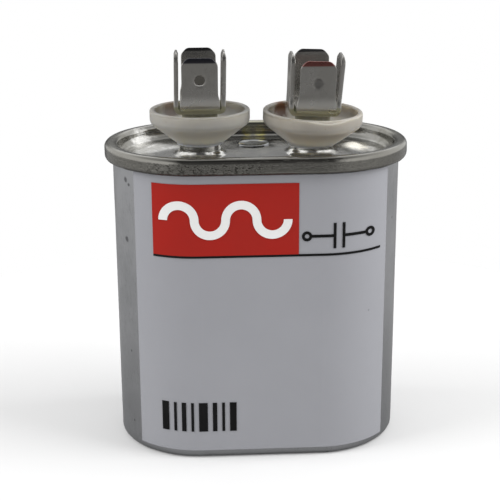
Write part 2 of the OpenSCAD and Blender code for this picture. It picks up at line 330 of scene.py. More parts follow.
def draw_scratches(sheet: NodeSheet, ends: dict[str, bpy.types.NodeSocket]) -> bpy.types.NodeSocket:
    """Thin broken lines along the stretched axis.

    Args:
        sheet: the group's node sheet.
        ends: the group's inputs by name.

    Returns:
        The mask.
    """
    where = sheet.place(ends["Stretch"])
    lines = sheet.noise(where, ends["Scale"], 2.0, 0.5)
    off = sheet.math("ABSOLUTE", sheet.math("SUBTRACT", lines, 0.5))
    thin = sheet.remap(off, 0.0, ends["Width"], 1.0, 0.0)
    breaks = sheet.noise(sheet.place(), sheet.math("MULTIPLY", ends["Scale"], 0.35), 2.0)
    kept = sheet.remap(breaks, ends["Gap"], sheet.math("ADD", ends["Gap"], 0.12))
    return sheet.math("MULTIPLY", thin, kept)


def draw_specks(sheet: NodeSheet, ends: dict[str, bpy.types.NodeSocket]) -> bpy.types.NodeSocket:
    """Scattered round dots, such as pits and dust.

    Args:
        sheet: the group's node sheet.
        ends: the group's inputs by name.

    Returns:
        The mask.
    """
    cells = sheet.add("ShaderNodeTexVoronoi", feature="F1")
    sheet.feed(cells.inputs["Vector"], sheet.place())
    sheet.feed(cells.inputs["Scale"], ends["Scale"])
    core = sheet.math("MULTIPLY", ends["Size"], 0.4)
    dots = sheet.remap(cells.outputs["Distance"], core, ends["Size"], 1.0, 0.0)
    pick = sheet.add("ShaderNodeSeparateColor")
    sheet.feed(pick.inputs[0], cells.outputs["Color"])
    chosen = sheet.math("LESS_THAN", pick.outputs[0], ends["Share"])
    return sheet.math("MULTIPLY", dots, chosen)


def draw_grain(sheet: NodeSheet, ends: dict[str, bpy.types.NodeSocket]) -> bpy.types.NodeSocket:
    """Fine relief of rolled, drawn or moulded stock, from 0 to 1.

    Args:
        sheet: the group's node sheet.
        ends: the group's inputs by name.

    Returns:
        The height.
    """
    where = sheet.place(ends["Stretch"])
    fine = sheet.noise(where, ends["Scale"], 3.0, 0.65)
    broad = sheet.noise(where, sheet.math("MULTIPLY", ends["Scale"], 0.17), 2.0, 0.5)
    return sheet.math("ADD", sheet.math("MULTIPLY", fine, 0.5), sheet.math("MULTIPLY", broad, 0.5))


def draw_band(sheet: NodeSheet, ends: dict[str, bpy.types.NodeSocket]) -> bpy.types.NodeSocket:
    """Share that rises from 0 at one height to 1 at another."""
    return sheet.remap(sheet.height(), ends["Low"], ends["High"])


def draw_outside(sheet: NodeSheet, ends: dict[str, bpy.types.NodeSocket]) -> bpy.types.NodeSocket:
    """Share that rises from 0 at one distance from the oval's spine to 1 at another.

    Args:
        sheet: the group's node sheet.
        ends: the group's inputs by name.

    Returns:
        The mask.
    """
    axes = sheet.add("ShaderNodeSeparateXYZ")
    sheet.feed(axes.inputs[0], sheet.add("ShaderNodeTexCoord").outputs["Object"])
    along = sheet.math("SUBTRACT", sheet.math("ABSOLUTE", axes.outputs[0]), ends["Flat"])
    along = sheet.math("MAXIMUM", along, 0.0)
    square = sheet.math("ADD", sheet.math("MULTIPLY", along, along),
                        sheet.math("MULTIPLY", axes.outputs[1], axes.outputs[1]))
    return sheet.remap(sheet.math("SQRT", square), ends["Low"], ends["High"])


def draw_patch(sheet: NodeSheet, ends: dict[str, bpy.types.NodeSocket]) -> bpy.types.NodeSocket:
    """One soft-edged patch round a centre, with a ragged outline.

    Args:
        sheet: the group's node sheet.
        ends: the group's inputs by name.

    Returns:
        The mask.
    """
    where = sheet.place()
    offset = sheet.add("ShaderNodeVectorMath", operation="SUBTRACT")
    sheet.feed(offset.inputs[0], where)
    sheet.feed(offset.inputs[1], ends["Centre"])
    far = sheet.add("ShaderNodeVectorMath", operation="LENGTH")
    sheet.feed(far.inputs[0], offset.outputs[0])
    ragged = sheet.math("MULTIPLY", sheet.noise(where, 900.0, 3.0), ends["Radius"])
    shift = sheet.math("SUBTRACT", ragged, sheet.math("MULTIPLY", ends["Radius"], 0.5))
    reach = sheet.math("ADD", far.outputs["Value"], shift)
    return sheet.remap(reach, sheet.math("MULTIPLY", ends["Radius"], 0.45), ends["Radius"], 1.0, 0.0)


EVEN = (1.0, 1.0, 1.0)
SMUDGES = Effect("Smudges", {"Scale": 120.0, "Low": 0.4, "High": 0.65, "Stretch": EVEN}, "Mask", draw_smudges)
SCRATCHES = Effect("Scratches", {"Scale": 900.0, "Width": 0.012, "Gap": 0.5, "Stretch": EVEN}, "Mask",
                   draw_scratches)
SPECKS = Effect("Specks", {"Scale": 900.0, "Size": 0.2, "Share": 0.3}, "Mask", draw_specks)
GRAIN = Effect("Grain", {"Scale": 4000.0, "Stretch": EVEN}, "Height", draw_grain)
BAND = Effect("Height band", {"Low": 0.0, "High": 0.01}, "Mask", draw_band)
OUTSIDE = Effect("Outside the oval", {"Flat": 0.01, "Low": 0.01, "High": 0.02}, "Mask", draw_outside)
PATCH = Effect("Patch", {"Centre": (0.0, 0.0, 0.0), "Radius": 0.002}, "Mask", draw_patch)


# ---- Finishes ----


@dataclass(frozen=True)
class Mark:
    """A soft-edged spot of another colour.

    Attributes:
        place: its centre in millimetres.
        radius: its radius in millimetres.
        colour: its colour.
        share: how much of the ground it hides.
    """

    place: Triple
    radius: float
    colour: Colour
    share: float = 0.8


class Paint:
    """A material under way: its node sheet and its Principled shader."""

    def __init__(self, name: str, metallic: float = 0.0, **constants: object) -> None:
        """Starts a material with constants on the shader's own sockets.

        Args:
            name: the material's name.
            metallic: the metallic constant.
            constants: further socket values, by socket name with underscores for spaces.
        """
        self.material = bpy.data.materials.new(name)
        self.material.use_nodes = True
        self.sheet = NodeSheet(self.material.node_tree)
        self.shader = self.material.node_tree.nodes["Principled BSDF"]
        self.shader.inputs["Metallic"].default_value = metallic
        for key, value in constants.items():
            self.shader.inputs[key.replace("_", " ")].default_value = value

    def set(self, **values: object) -> None:
        """Feeds shader sockets, by socket name with underscores for spaces."""
        for key, value in values.items():
            self.sheet.feed(self.shader.inputs[key.replace("_", " ")], value)

    def bump(self, height: object, depth_mm: float, strength: float = 1.0) -> None:
        """Adds relief of a given depth.

        Args:
            height: relief from 0 to 1.
            depth_mm: depth of the full relief, in millimetres.
            strength: share of the relief that shows.
        """
        before = self.shader.inputs["Normal"].links
        node = self.sheet.add("ShaderNodeBump")
        if before:
            self.sheet.feed(node.inputs["Normal"], before[0].from_socket)
        node.inputs["Strength"].default_value = strength
        node.inputs["Distance"].default_value = depth_mm * MM
        self.sheet.feed(node.inputs["Height"], height)
        self.sheet.feed(self.shader.inputs["Normal"], node.outputs["Normal"])

    @property
    def ground(self) -> bpy.types.NodeSocket:
        """The colour that the finish has so far."""
        return self.shader.inputs["Base Color"].links[0].from_socket

    def lay(self, mask: object, colour: Colour, share: float = 1.0) -> None:
        """Lays a colour over what the finish has so far, through a mask and to a share."""
        factor = self.sheet.math("MULTIPLY", mask, share)
        self.set(Base_Color=self.sheet.blend(factor, self.ground, opaque(colour)))

    def band(self, low: float, high: float, colour: Colour, share: float = 0.8) -> None:
        """Lays a colour that starts at one height and is full at another, upwards or downwards."""
        self.lay(BAND.use(self.sheet, low=low, high=high), colour, share)

    def mark(self, mark: Mark, stand: Matrix = Matrix()) -> None:
        """Lays a spot of colour, placed in a given frame."""
        centre = stand @ (Vector(mark.place) * MM)
        self.lay(PATCH.use(self.sheet, centre=centre, radius=mark.radius * MM), mark.colour, mark.share)


def opaque(colour: Colour) -> tuple[float, float, float, float]:
    """Adds full alpha to a colour."""
    return (*colour, 1.0)


def shade(colour: Colour, factor: float) -> Colour:
    """Makes a colour lighter or darker by a factor."""
    return (factor * colour[0], factor * colour[1], factor * colour[2])


@dataclass(frozen=True)
class TinPlate:
    """Bright tin plate with stains, rolling lines and fine scratches.

    Attributes:
        name: the material's name.
        colour: clean plate.
        stain: plate under a film of grease or oxide.
        stretch: direction of the rolling lines; a high value packs lines along that axis.
        rough: roughness of the clean plate.
        scratch: strength of the scratches.
        relief_mm: depth of the rolled grain.
    """

    name: str
    colour: Colour
    stain: Colour
    stretch: Triple = (1.0, 1.0, 12.0)
    rough: float = 0.16
    scratch: float = 0.5
    relief_mm: float = 0.012

    def make(self) -> Paint:
        """Builds the material.

        Returns:
            The finished paint, ready for further marks.
        """
        paint = Paint(self.name, metallic=1.0)
        sheet = paint.sheet
        smudge = SMUDGES.use(sheet, scale=190.0, low=0.38, high=0.66)
        lines = SCRATCHES.use(sheet, scale=330.0, width=0.02, gap=0.44, stretch=self.stretch)
        base = sheet.blend(smudge, opaque(self.colour), opaque(self.stain))
        marked = sheet.math("MULTIPLY", lines, self.scratch)
        pits = SPECKS.use(sheet, scale=1500.0, size=0.16, share=0.12)
        worn = sheet.math("MAXIMUM", marked, sheet.math("MULTIPLY", pits, 0.5))
        paint.set(Base_Color=sheet.blend(worn, base, opaque(shade(self.stain, 0.45))))
        paint.set(Roughness=sheet.remap(smudge, 0.0, 1.0, self.rough, self.rough + 0.16, smooth=False))
        paint.bump(GRAIN.use(sheet, scale=700.0, stretch=self.stretch), self.relief_mm)
        paint.bump(marked, -0.01)
        return paint


@dataclass(frozen=True)
class DrawnAluminium:
    """Deep-drawn aluminium with upright drawing lines, scuffs and small nicks.

    Attributes:
        name: the material's name.
        colour: clean metal.
        dull: metal under a film of dirt in the smudges, and painted shade that darkens the wall towards the
            foot.
        nick: metal in a nick or a scratch.
        pits: three larger dark pits on the left of the front.
    """

    name: str = "drawn_aluminium"
    colour: Colour = (0.53, 0.535, 0.55)
    dull: Colour = (0.38, 0.385, 0.395)
    nick: Colour = (0.12, 0.12, 0.12)
    pits: tuple[Mark, ...] = (Mark((-23.4, -8.4, 51.0), 0.6, (0.12, 0.12, 0.125)),
                              Mark((-22.9, -9.2, 50.2), 0.4, (0.12, 0.12, 0.125)),
                              Mark((-23.6, -8.1, 40.0), 0.7, (0.12, 0.12, 0.125)))

    def make(self) -> Paint:
        """Builds the material.

        Returns:
            The finished paint.
        """
        paint = Paint(self.name, metallic=1.0)
        sheet = paint.sheet
        upright = (14.0, 14.0, 1.0)
        smudge = SMUDGES.use(sheet, scale=90.0, low=0.35, high=0.7)
        lines = SCRATCHES.use(sheet, scale=240.0, width=0.03, gap=0.46, stretch=upright)
        # foot: painted shade, darker towards the foot of the can.
        foot = BAND.use(sheet, low=32 * MM, high=12 * MM)
        worn = sheet.math("MAXIMUM", sheet.math("MULTIPLY", smudge, 0.7), sheet.math("MULTIPLY", foot, 0.6))
        base = sheet.blend(worn, opaque(self.colour), opaque(self.dull))
        nicks = SPECKS.use(sheet, scale=420.0, size=0.17, share=0.18)
        marks = sheet.math("MAXIMUM", sheet.math("MULTIPLY", lines, 0.3), sheet.math("MULTIPLY", nicks, 0.7))
        paint.set(Base_Color=sheet.blend(marks, base, opaque(self.nick)))
        paint.set(Roughness=sheet.remap(smudge, 0.0, 1.0, 0.34, 0.48, smooth=False))
        paint.bump(GRAIN.use(sheet, scale=900.0, stretch=upright), 0.02)
        paint.bump(nicks, -0.03)
        for pit in self.pits:
            paint.mark(pit)
        return paint


@dataclass(frozen=True)
class CupPlastic:
    """Milky moulded plastic with cloudy patches and a little dust.

    Attributes:
        name: the material's name.
        colour: clean plastic.
        dust: dust in the pores.
    """

    name: str = "milky_plastic"
    colour: Colour = (0.47, 0.455, 0.42)
    dust: Colour = (0.16, 0.14, 0.11)

    def make(self) -> Paint:
        """Builds the material.

        Returns:
            The finished paint.
        """
        paint = Paint(self.name, Subsurface_Weight=0.8, Subsurface_Scale=2.4 * MM, IOR=1.5)
        paint.shader.inputs["Subsurface Radius"].default_value = (1.0, 0.9, 0.7)
        sheet = paint.sheet
        cloud = SMUDGES.use(sheet, scale=160.0, low=0.35, high=0.7)
        base = sheet.blend(cloud, opaque(self.colour), opaque(shade(self.colour, 0.88)))
        dust = SPECKS.use(sheet, scale=1300.0, size=0.2, share=0.08)
        paint.set(Base_Color=sheet.blend(sheet.math("MULTIPLY", dust, 0.4), base, opaque(self.dust)))
        paint.set(Roughness=sheet.remap(cloud, 0.0, 1.0, 0.34, 0.46, smooth=False))
        paint.bump(GRAIN.use(sheet, scale=1100.0), 0.02)
        return paint


@dataclass(frozen=True)
class LabelFilm:
    """Silvery satin film with faint pressing marks and a few specks.

    Attributes:
        name: the material's name.
        colour: clean film.
        speck: a speck of dirt.
    """

    name: str = "label_film"
    colour: Colour = (0.292, 0.295, 0.317)
    speck: Colour = (0.12, 0.12, 0.13)

    def make(self) -> Paint:
        """Builds the material.

        Returns:
            The finished paint.
        """
        paint = Paint(self.name, Specular_IOR_Level=0.4)
        sheet = paint.sheet
        cloud = SMUDGES.use(sheet, scale=70.0, low=0.3, high=0.75)
        base = sheet.blend(cloud, opaque(self.colour), opaque(shade(self.colour, 0.965)))
        specks = SPECKS.use(sheet, scale=260.0, size=0.07, share=0.12)
        paint.set(Base_Color=sheet.blend(sheet.math("MULTIPLY", specks, 0.5), base, opaque(self.speck)))
        paint.set(Roughness=sheet.remap(cloud, 0.0, 1.0, 0.42, 0.5, smooth=False))
        paint.bump(GRAIN.use(sheet, scale=300.0), 0.03, 0.6)
        return paint


@dataclass(frozen=True)
class Ink:
    """Printed ink, slightly uneven, with pinholes where the film shows.

    Attributes:
        name: the material's name.
        colour: full ink.
        thin: ink where it is thin.
    """

    name: str
    colour: Colour
    thin: Colour

    def make(self) -> Paint:
        """Builds the material.

        Returns:
            The finished paint.
        """
        paint = Paint(self.name, Specular_IOR_Level=0.15)
        sheet = paint.sheet
        cloud = SMUDGES.use(sheet, scale=140.0, low=0.3, high=0.75)
        holes = SPECKS.use(sheet, scale=800.0, size=0.12, share=0.05)
        share = sheet.math("MAXIMUM", sheet.math("MULTIPLY", cloud, 0.5), holes)
        paint.set(Base_Color=sheet.blend(share, opaque(self.colour), opaque(self.thin)))
        paint.set(Roughness=sheet.remap(cloud, 0.0, 1.0, 0.4, 0.5, smooth=False))
        paint.bump(GRAIN.use(sheet, scale=500.0), 0.02, 0.5)
        return paint


@dataclass(frozen=True)
class PlainStock:
    """Finish of a piece inside the case: stock with grain and uneven colour.

    Attributes:
        name: the material's name.
        colour: main colour.
        second: colour of its uneven patches.
        rough: roughness.
        metallic: 1 for metal, 0 otherwise.
        scale: grain for each metre.
        stretch: direction of the grain.
        relief_mm: depth of the grain.
    """

    name: str
    colour: Colour
    second: Colour
    rough: float = 0.6
    metallic: float = 0.0
    scale: float = 900.0
    stretch: Triple = EVEN
    relief_mm: float = 0.03

    def make(self) -> Paint:
        """Builds the material.

        Returns:
            The finished paint.
        """
        paint = Paint(self.name, metallic=self.metallic)
        sheet = paint.sheet
        cloud = SMUDGES.use(sheet, scale=self.scale * 0.2, low=0.35, high=0.65, stretch=self.stretch)
        paint.set(Base_Color=sheet.blend(cloud, opaque(self.colour), opaque(self.second)))
        paint.set(Roughness=sheet.remap(cloud, 0.0, 1.0, self.rough, self.rough + 0.12, smooth=False))
        paint.bump(GRAIN.use(sheet, scale=self.scale, stretch=self.stretch), self.relief_mm)
        return paint


# ---- Mesh work ----


def finish_mesh(bm: bmesh.types.BMesh, name: str, crease_deg: float = 35.0) -> bpy.types.Object:
    """Turns a bmesh into a smooth-shaded object with creases at sharp edges.

    Args:
        bm: the mesh, which is freed.
        name: the piece's name.
        crease_deg: edges sharper than this stay creased.

    Returns:
        The new object.
    """
    bmesh.ops.remove_doubles(bm, verts=bm.verts, dist=1e-7)
    bmesh.ops.recalc_face_normals(bm, faces=bm.faces)
    mesh = bpy.data.meshes.new(name)
    bm.to_mesh(mesh)
    bm.free()
    mesh.shade_smooth()
    mesh.set_sharp_from_angle(angle=math.radians(crease_deg))
    piece = bpy.data.objects.new(name, mesh)
    bpy.context.scene.collection.objects.link(piece)
    return piece


def dress(piece: bpy.types.Object, paint: Paint) -> None:
    """Gives a piece one material."""
    piece.data.materials.clear()
    piece.data.materials.append(paint.material)


def enter(piece: bpy.types.Object, slot: Slot, *nodes: str) -> None:
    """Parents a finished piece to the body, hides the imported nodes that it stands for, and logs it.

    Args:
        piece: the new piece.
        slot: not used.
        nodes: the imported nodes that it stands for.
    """
    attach(piece, BODY)
    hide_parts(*nodes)
    log.info("%s: %d faces, replaces %s", piece.name, len(piece.data.polygons), ", ".join(nodes))


def ripple(place: Vector, scale: float, octaves: int = 3) -> float:
    """Smooth noise from about -1 to 1 at a place, with a number of waves for each millimetre."""
    return noise.fractal(place * (scale / MM), 1.0, 2.0, octaves)


@dataclass
class SheetRoute:
    """Middle line of a folded sheet in a section, drawn with runs and bends.

    Attributes:
        r: distance from the axis, in metres.
        z: height, in metres.
        heading: direction in degrees, 0 outwards and 90 upwards.
        points: the line so far, each with its heading.
    """

    r: float
    z: float
    heading: float
    points: list[tuple[float, float, float]] = field(default_factory=list)

    def __post_init__(self) -> None:
        """Marks the start."""
        self.mark()

    def mark(self) -> None:
        """Adds the present point to the line."""
        self.points.append((self.r, self.z, math.radians(self.heading)))

    def run(self, length: float, steps: int = 1) -> "SheetRoute":
        """Goes straight on.

        Args:
            length: distance in metres.
            steps: number of points added.

        Returns:
            The route itself.
        """
        for _ in range(steps):
            self.r += length / steps * math.cos(math.radians(self.heading))
            self.z += length / steps * math.sin(math.radians(self.heading))
            self.mark()
        return self

    def bend(self, radius: float, degrees: float, steps: int = 8) -> "SheetRoute":
        """Turns along an arc, to the left for a positive angle.

        Args:
            radius: radius of the middle line.
            degrees: angle turned.
            steps: number of points added.

        Returns:
            The route itself.
        """
        side = 1 if degrees > 0 else -1
        for _ in range(steps):
            start = math.radians(self.heading)
            self.heading += degrees / steps
            end = math.radians(self.heading)
            self.r += side * radius * (math.sin(end) - math.sin(start))
            self.z -= side * radius * (math.cos(end) - math.cos(start))
            self.mark()
        return self

    def outline(self, thickness: float) -> list[Point2]:
        """Goes up the sheet's left face, round its end and back along its right face.

        Args:
            thickness: thickness of the sheet.

        Returns:
            Points of the open outline.
        """
        def offset(point: tuple[float, float, float], along: float) -> Point2:
            """Moves a point of the line sideways, to the left for a positive distance."""
            r, z, heading = point
            return (r - along * math.sin(heading), z + along * math.cos(heading))

        half = thickness / 2
        left = [offset(point, half) for point in self.points]
        right = [offset(point, -half) for point in reversed(self.points)]
        r, z, heading = self.points[-1]
        nose = (r + 0.3 * half * math.cos(heading), z + 0.3 * half * math.sin(heading))
        return [*left, nose, *right]


def rounded(points: Sequence[Point2], radii: Sequence[float], steps: int = 5) -> list[Point2]:
    """Rounds the corners of an open outline with curves.

    Args:
        points: corners of the outline.
        radii: length cut back at each corner, 0 at a sharp one.
        steps: points in each rounded corner.

    Returns:
        The rounded outline.
    """
    path: list[Point2] = []
    for index, (corner, radius) in enumerate(zip(points, radii)):
        if radius == 0 or index in (0, len(points) - 1):
            path.append(corner)
            continue
        here = Vector(corner)
        back = (Vector(points[index - 1]) - here).normalized() * radius
        ahead = (Vector(points[index + 1]) - here).normalized() * radius
        for step in range(steps + 1):
            t = step / steps
            point = here + back * (1 - t) ** 2 + ahead * t ** 2
            path.append((point.x, point.y))
    return path


@dataclass
class Oval:
    """Plan of the case: straight sides and half-round ends.

    Attributes:
        flat: half-length of a straight side.
        arc_steps: stations round each end.
        side_steps: stations along each side.
    """

    flat: float
    arc_steps: int = 72
    side_steps: int = 48

    def stations(self) -> list[tuple[float, float, float]]:
        """Lists the stations round the oval, anticlockwise from the right end of the front.

        Returns:
            For each station, the X of its centre and the X and Y of its outward direction.
        """
        marks: list[tuple[float, float, float]] = []
        for end in (1, -1):
            for step in range(self.arc_steps):
                angle = math.radians(-90 * end + 180 * step / self.arc_steps)
                marks.append((end * self.flat, math.cos(angle), math.sin(angle)))
            for step in range(self.side_steps):
                marks.append((end * self.flat * (1 - 2 * step / self.side_steps), 0.0, float(end)))
        return marks

    def ring(self, radius: float) -> list[Point2]:
        """Places the stations at a distance from the oval's spine."""
        return [(cx + radius * nx, radius * ny) for cx, nx, ny in self.stations()]

    def sweep(self, bm: bmesh.types.BMesh, outline: Sequence[Point2], warp: Warp | None = None) -> None:
        """Sweeps an open outline round the oval.

        Args:
            bm: mesh to add to.
            outline: points of the section, as distance from the spine and height.
            warp: optional change of each point.
        """
        rows = []
        for cx, nx, ny in self.stations():
            places = [Vector((cx + r * nx, r * ny, z)) for r, z in outline]
            rows.append([bm.verts.new(warp(place) if warp else place) for place in places])
        stitch(bm, rows, closed=True)


def stitch(bm: bmesh.types.BMesh, rows: Sequence[Sequence[bmesh.types.BMVert]], closed: bool) -> None:
    """Joins rows of equal length with four-sided faces.

    Args:
        bm: mesh to add to.
        rows: rows of vertices.
        closed: whether the last row joins the first.
    """
    count = len(rows)
    for index in range(count if closed else count - 1):
        here, there = rows[index], rows[(index + 1) % count]
        for k in range(len(here) - 1):
            bm.faces.new((here[k], there[k], there[k + 1], here[k + 1]))


def turn(bm: bmesh.types.BMesh, outline: Sequence[Point2], centre: Point2, steps: int,
         warp: Warp | None = None) -> None:
    """Turns an open outline round an upright axis.

    Args:
        bm: mesh to add to.
        outline: points of the section, as distance from the axis and height.
        centre: place of the axis.
        steps: stations round the axis.
        warp: optional change of each point.
    """
    rows = []
    for step in range(steps):
        angle = 2 * math.pi * step / steps
        places = [Vector((centre[0] + r * math.cos(angle), centre[1] + r * math.sin(angle), z))
                  for r, z in outline]
        rows.append([bm.verts.new(warp(place) if warp else place) for place in places])
    stitch(bm, rows, closed=True)


def triangulate(loops: Sequence[Sequence[Point2]], spacing: float,
                inside: Callable[[float, float, float], bool]) -> tuple[list[Point2], list[tuple[int, ...]]]:
    """Fills the area between loops with even triangles.

    Args:
        loops: closed loops of points, the outer one and the holes.
        spacing: distance between the inner points.
        inside: says whether a point lies in the area, by at least a margin.

    Returns:
        The points, starting with the loops' own, and the triangles.
    """
    points: list[Vector] = []
    edges: list[tuple[int, int]] = []
    for loop in loops:
        first = len(points)
        points += [Vector(point) for point in loop]
        edges += [(first + k, first + (k + 1) % len(loop)) for k in range(len(loop))]
    reach_x = max(abs(point.x) for point in points)
    reach_y = max(abs(point.y) for point in points)
    row_step = 0.866 * spacing  # height of a triangle with even sides
    columns, rows = int(reach_x / spacing) + 1, int(reach_y / row_step) + 1
    for row in range(-rows, rows + 1):
        for column in range(-columns, columns + 1):
            x = (column + 0.5 * (row % 2)) * spacing
            y = row * row_step
            if inside(x, y, 0.55 * spacing):
                points.append(Vector((x, y)))
    found = geometry.delaunay_2d_cdt(points, edges, [], 0, 1e-9)
    places = [(point.x, point.y) for point in found[0]]
    triangles = []
    for face in found[2]:
        x = sum(places[k][0] for k in face) / 3
        y = sum(places[k][1] for k in face) / 3
        if inside(x, y, 0.0):
            triangles.append(tuple(face))
    return places, triangles


# ---- Case ----


@dataclass
class Case:
    """The oval case as packed: drawn can, lid and the sizes that other pieces follow.

    Attributes:
        can_t: wall of the can.
        lid_t: thickness of the lid.
        slack: slack between the layers of the seam.
        seam_h: height of the double seam.
        well_depth: depth of the lid's floor below the seam's top.
        well_fold_r: inside radius between the well's wall and its floor.
        terminal_x: distance of a terminal from the middle.
        collar_r: outside radius of a drawn collar.
        collar_h: height of the left collar above the floor.
        collar_fold_r: radius at the foot of a collar.
        right_drop: how much lower the right collar is.
        right_lean_deg: outward lean of the right terminal.
        right_tilt_deg: forward tilt of the right terminal.
        cup_h: height of a cup above its collar.
        tabs_up: underside of the lower stamping, above the collar.
    """

    can_t: float = 0.5 * MM
    lid_t: float = 0.4 * MM
    slack: float = 0.05 * MM
    seam_h: float = 3.0 * MM
    well_depth: float = 2.7 * MM
    well_fold_r: float = 1.6 * MM
    terminal_x: float = 10.1 * MM
    collar_r: float = 3.9 * MM
    collar_h: float = 2.0 * MM
    collar_fold_r: float = 1.2 * MM
    right_drop: float = 0.6 * MM
    right_lean_deg: float = 2.0
    right_tilt_deg: float = 1.5
    cup_h: float = 6.25 * MM
    tabs_up: float = 5.85 * MM

    def __post_init__(self) -> None:
        """Reads the case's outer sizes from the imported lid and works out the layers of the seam."""
        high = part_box("lid")[1]
        self.top = high.z
        self.seam_r = high.y
        self.oval = Oval(high.x - high.y)
        self.skirt_r = self.seam_r - self.lid_t
        self.can_hook_r = self.skirt_r - self.slack - self.can_t
        self.hook_r = self.can_hook_r - self.slack - self.lid_t
        self.body_r = self.hook_r - self.slack
        self.chuck_r1 = self.body_r - self.can_t - self.slack
        self.chuck_r0 = self.chuck_r1 - self.lid_t
        self.seam_foot = self.top - self.seam_h
        self.floor_z = self.top - self.well_depth
        self.well_r = self.chuck_r0 - self.well_fold_r
        self.collar_foot_r = self.collar_r + self.collar_fold_r

    def collar_z(self, side: Side) -> float:
        """Height of the top of a collar."""
        return self.floor_z + self.collar_h - (self.right_drop if side is Side.RIGHT else 0.0)

    def stand(self, side: Side) -> Matrix:
        """Gives the frame of a terminal's upper part, which starts on its collar.

        Args:
            side: the terminal.

        Returns:
            The frame, leaning where the terminal leans.
        """
        place = Matrix.Translation((side.value * self.terminal_x, 0.0, self.collar_z(side)))
        if side is Side.LEFT:
            return place
        lean = Matrix.Rotation(math.radians(self.right_lean_deg), 4, "Y")
        return place @ lean @ Matrix.Rotation(math.radians(self.right_tilt_deg), 4, "X")

    def on_floor(self, x: float, y: float, margin: float) -> bool:
        """Says whether a point lies on the flat floor of the well.

        Args:
            x: place along the oval.
            y: place across it.
            margin: least distance from the floor's edges.

        Returns:
            Whether the point is inside.
        """
        along = max(abs(x) - self.oval.flat, 0.0)
        from_spine = math.hypot(along, y)
        from_terminal = math.hypot(abs(x) - self.terminal_x, y)
        return from_spine < self.well_r - margin and from_terminal > self.collar_foot_r + margin


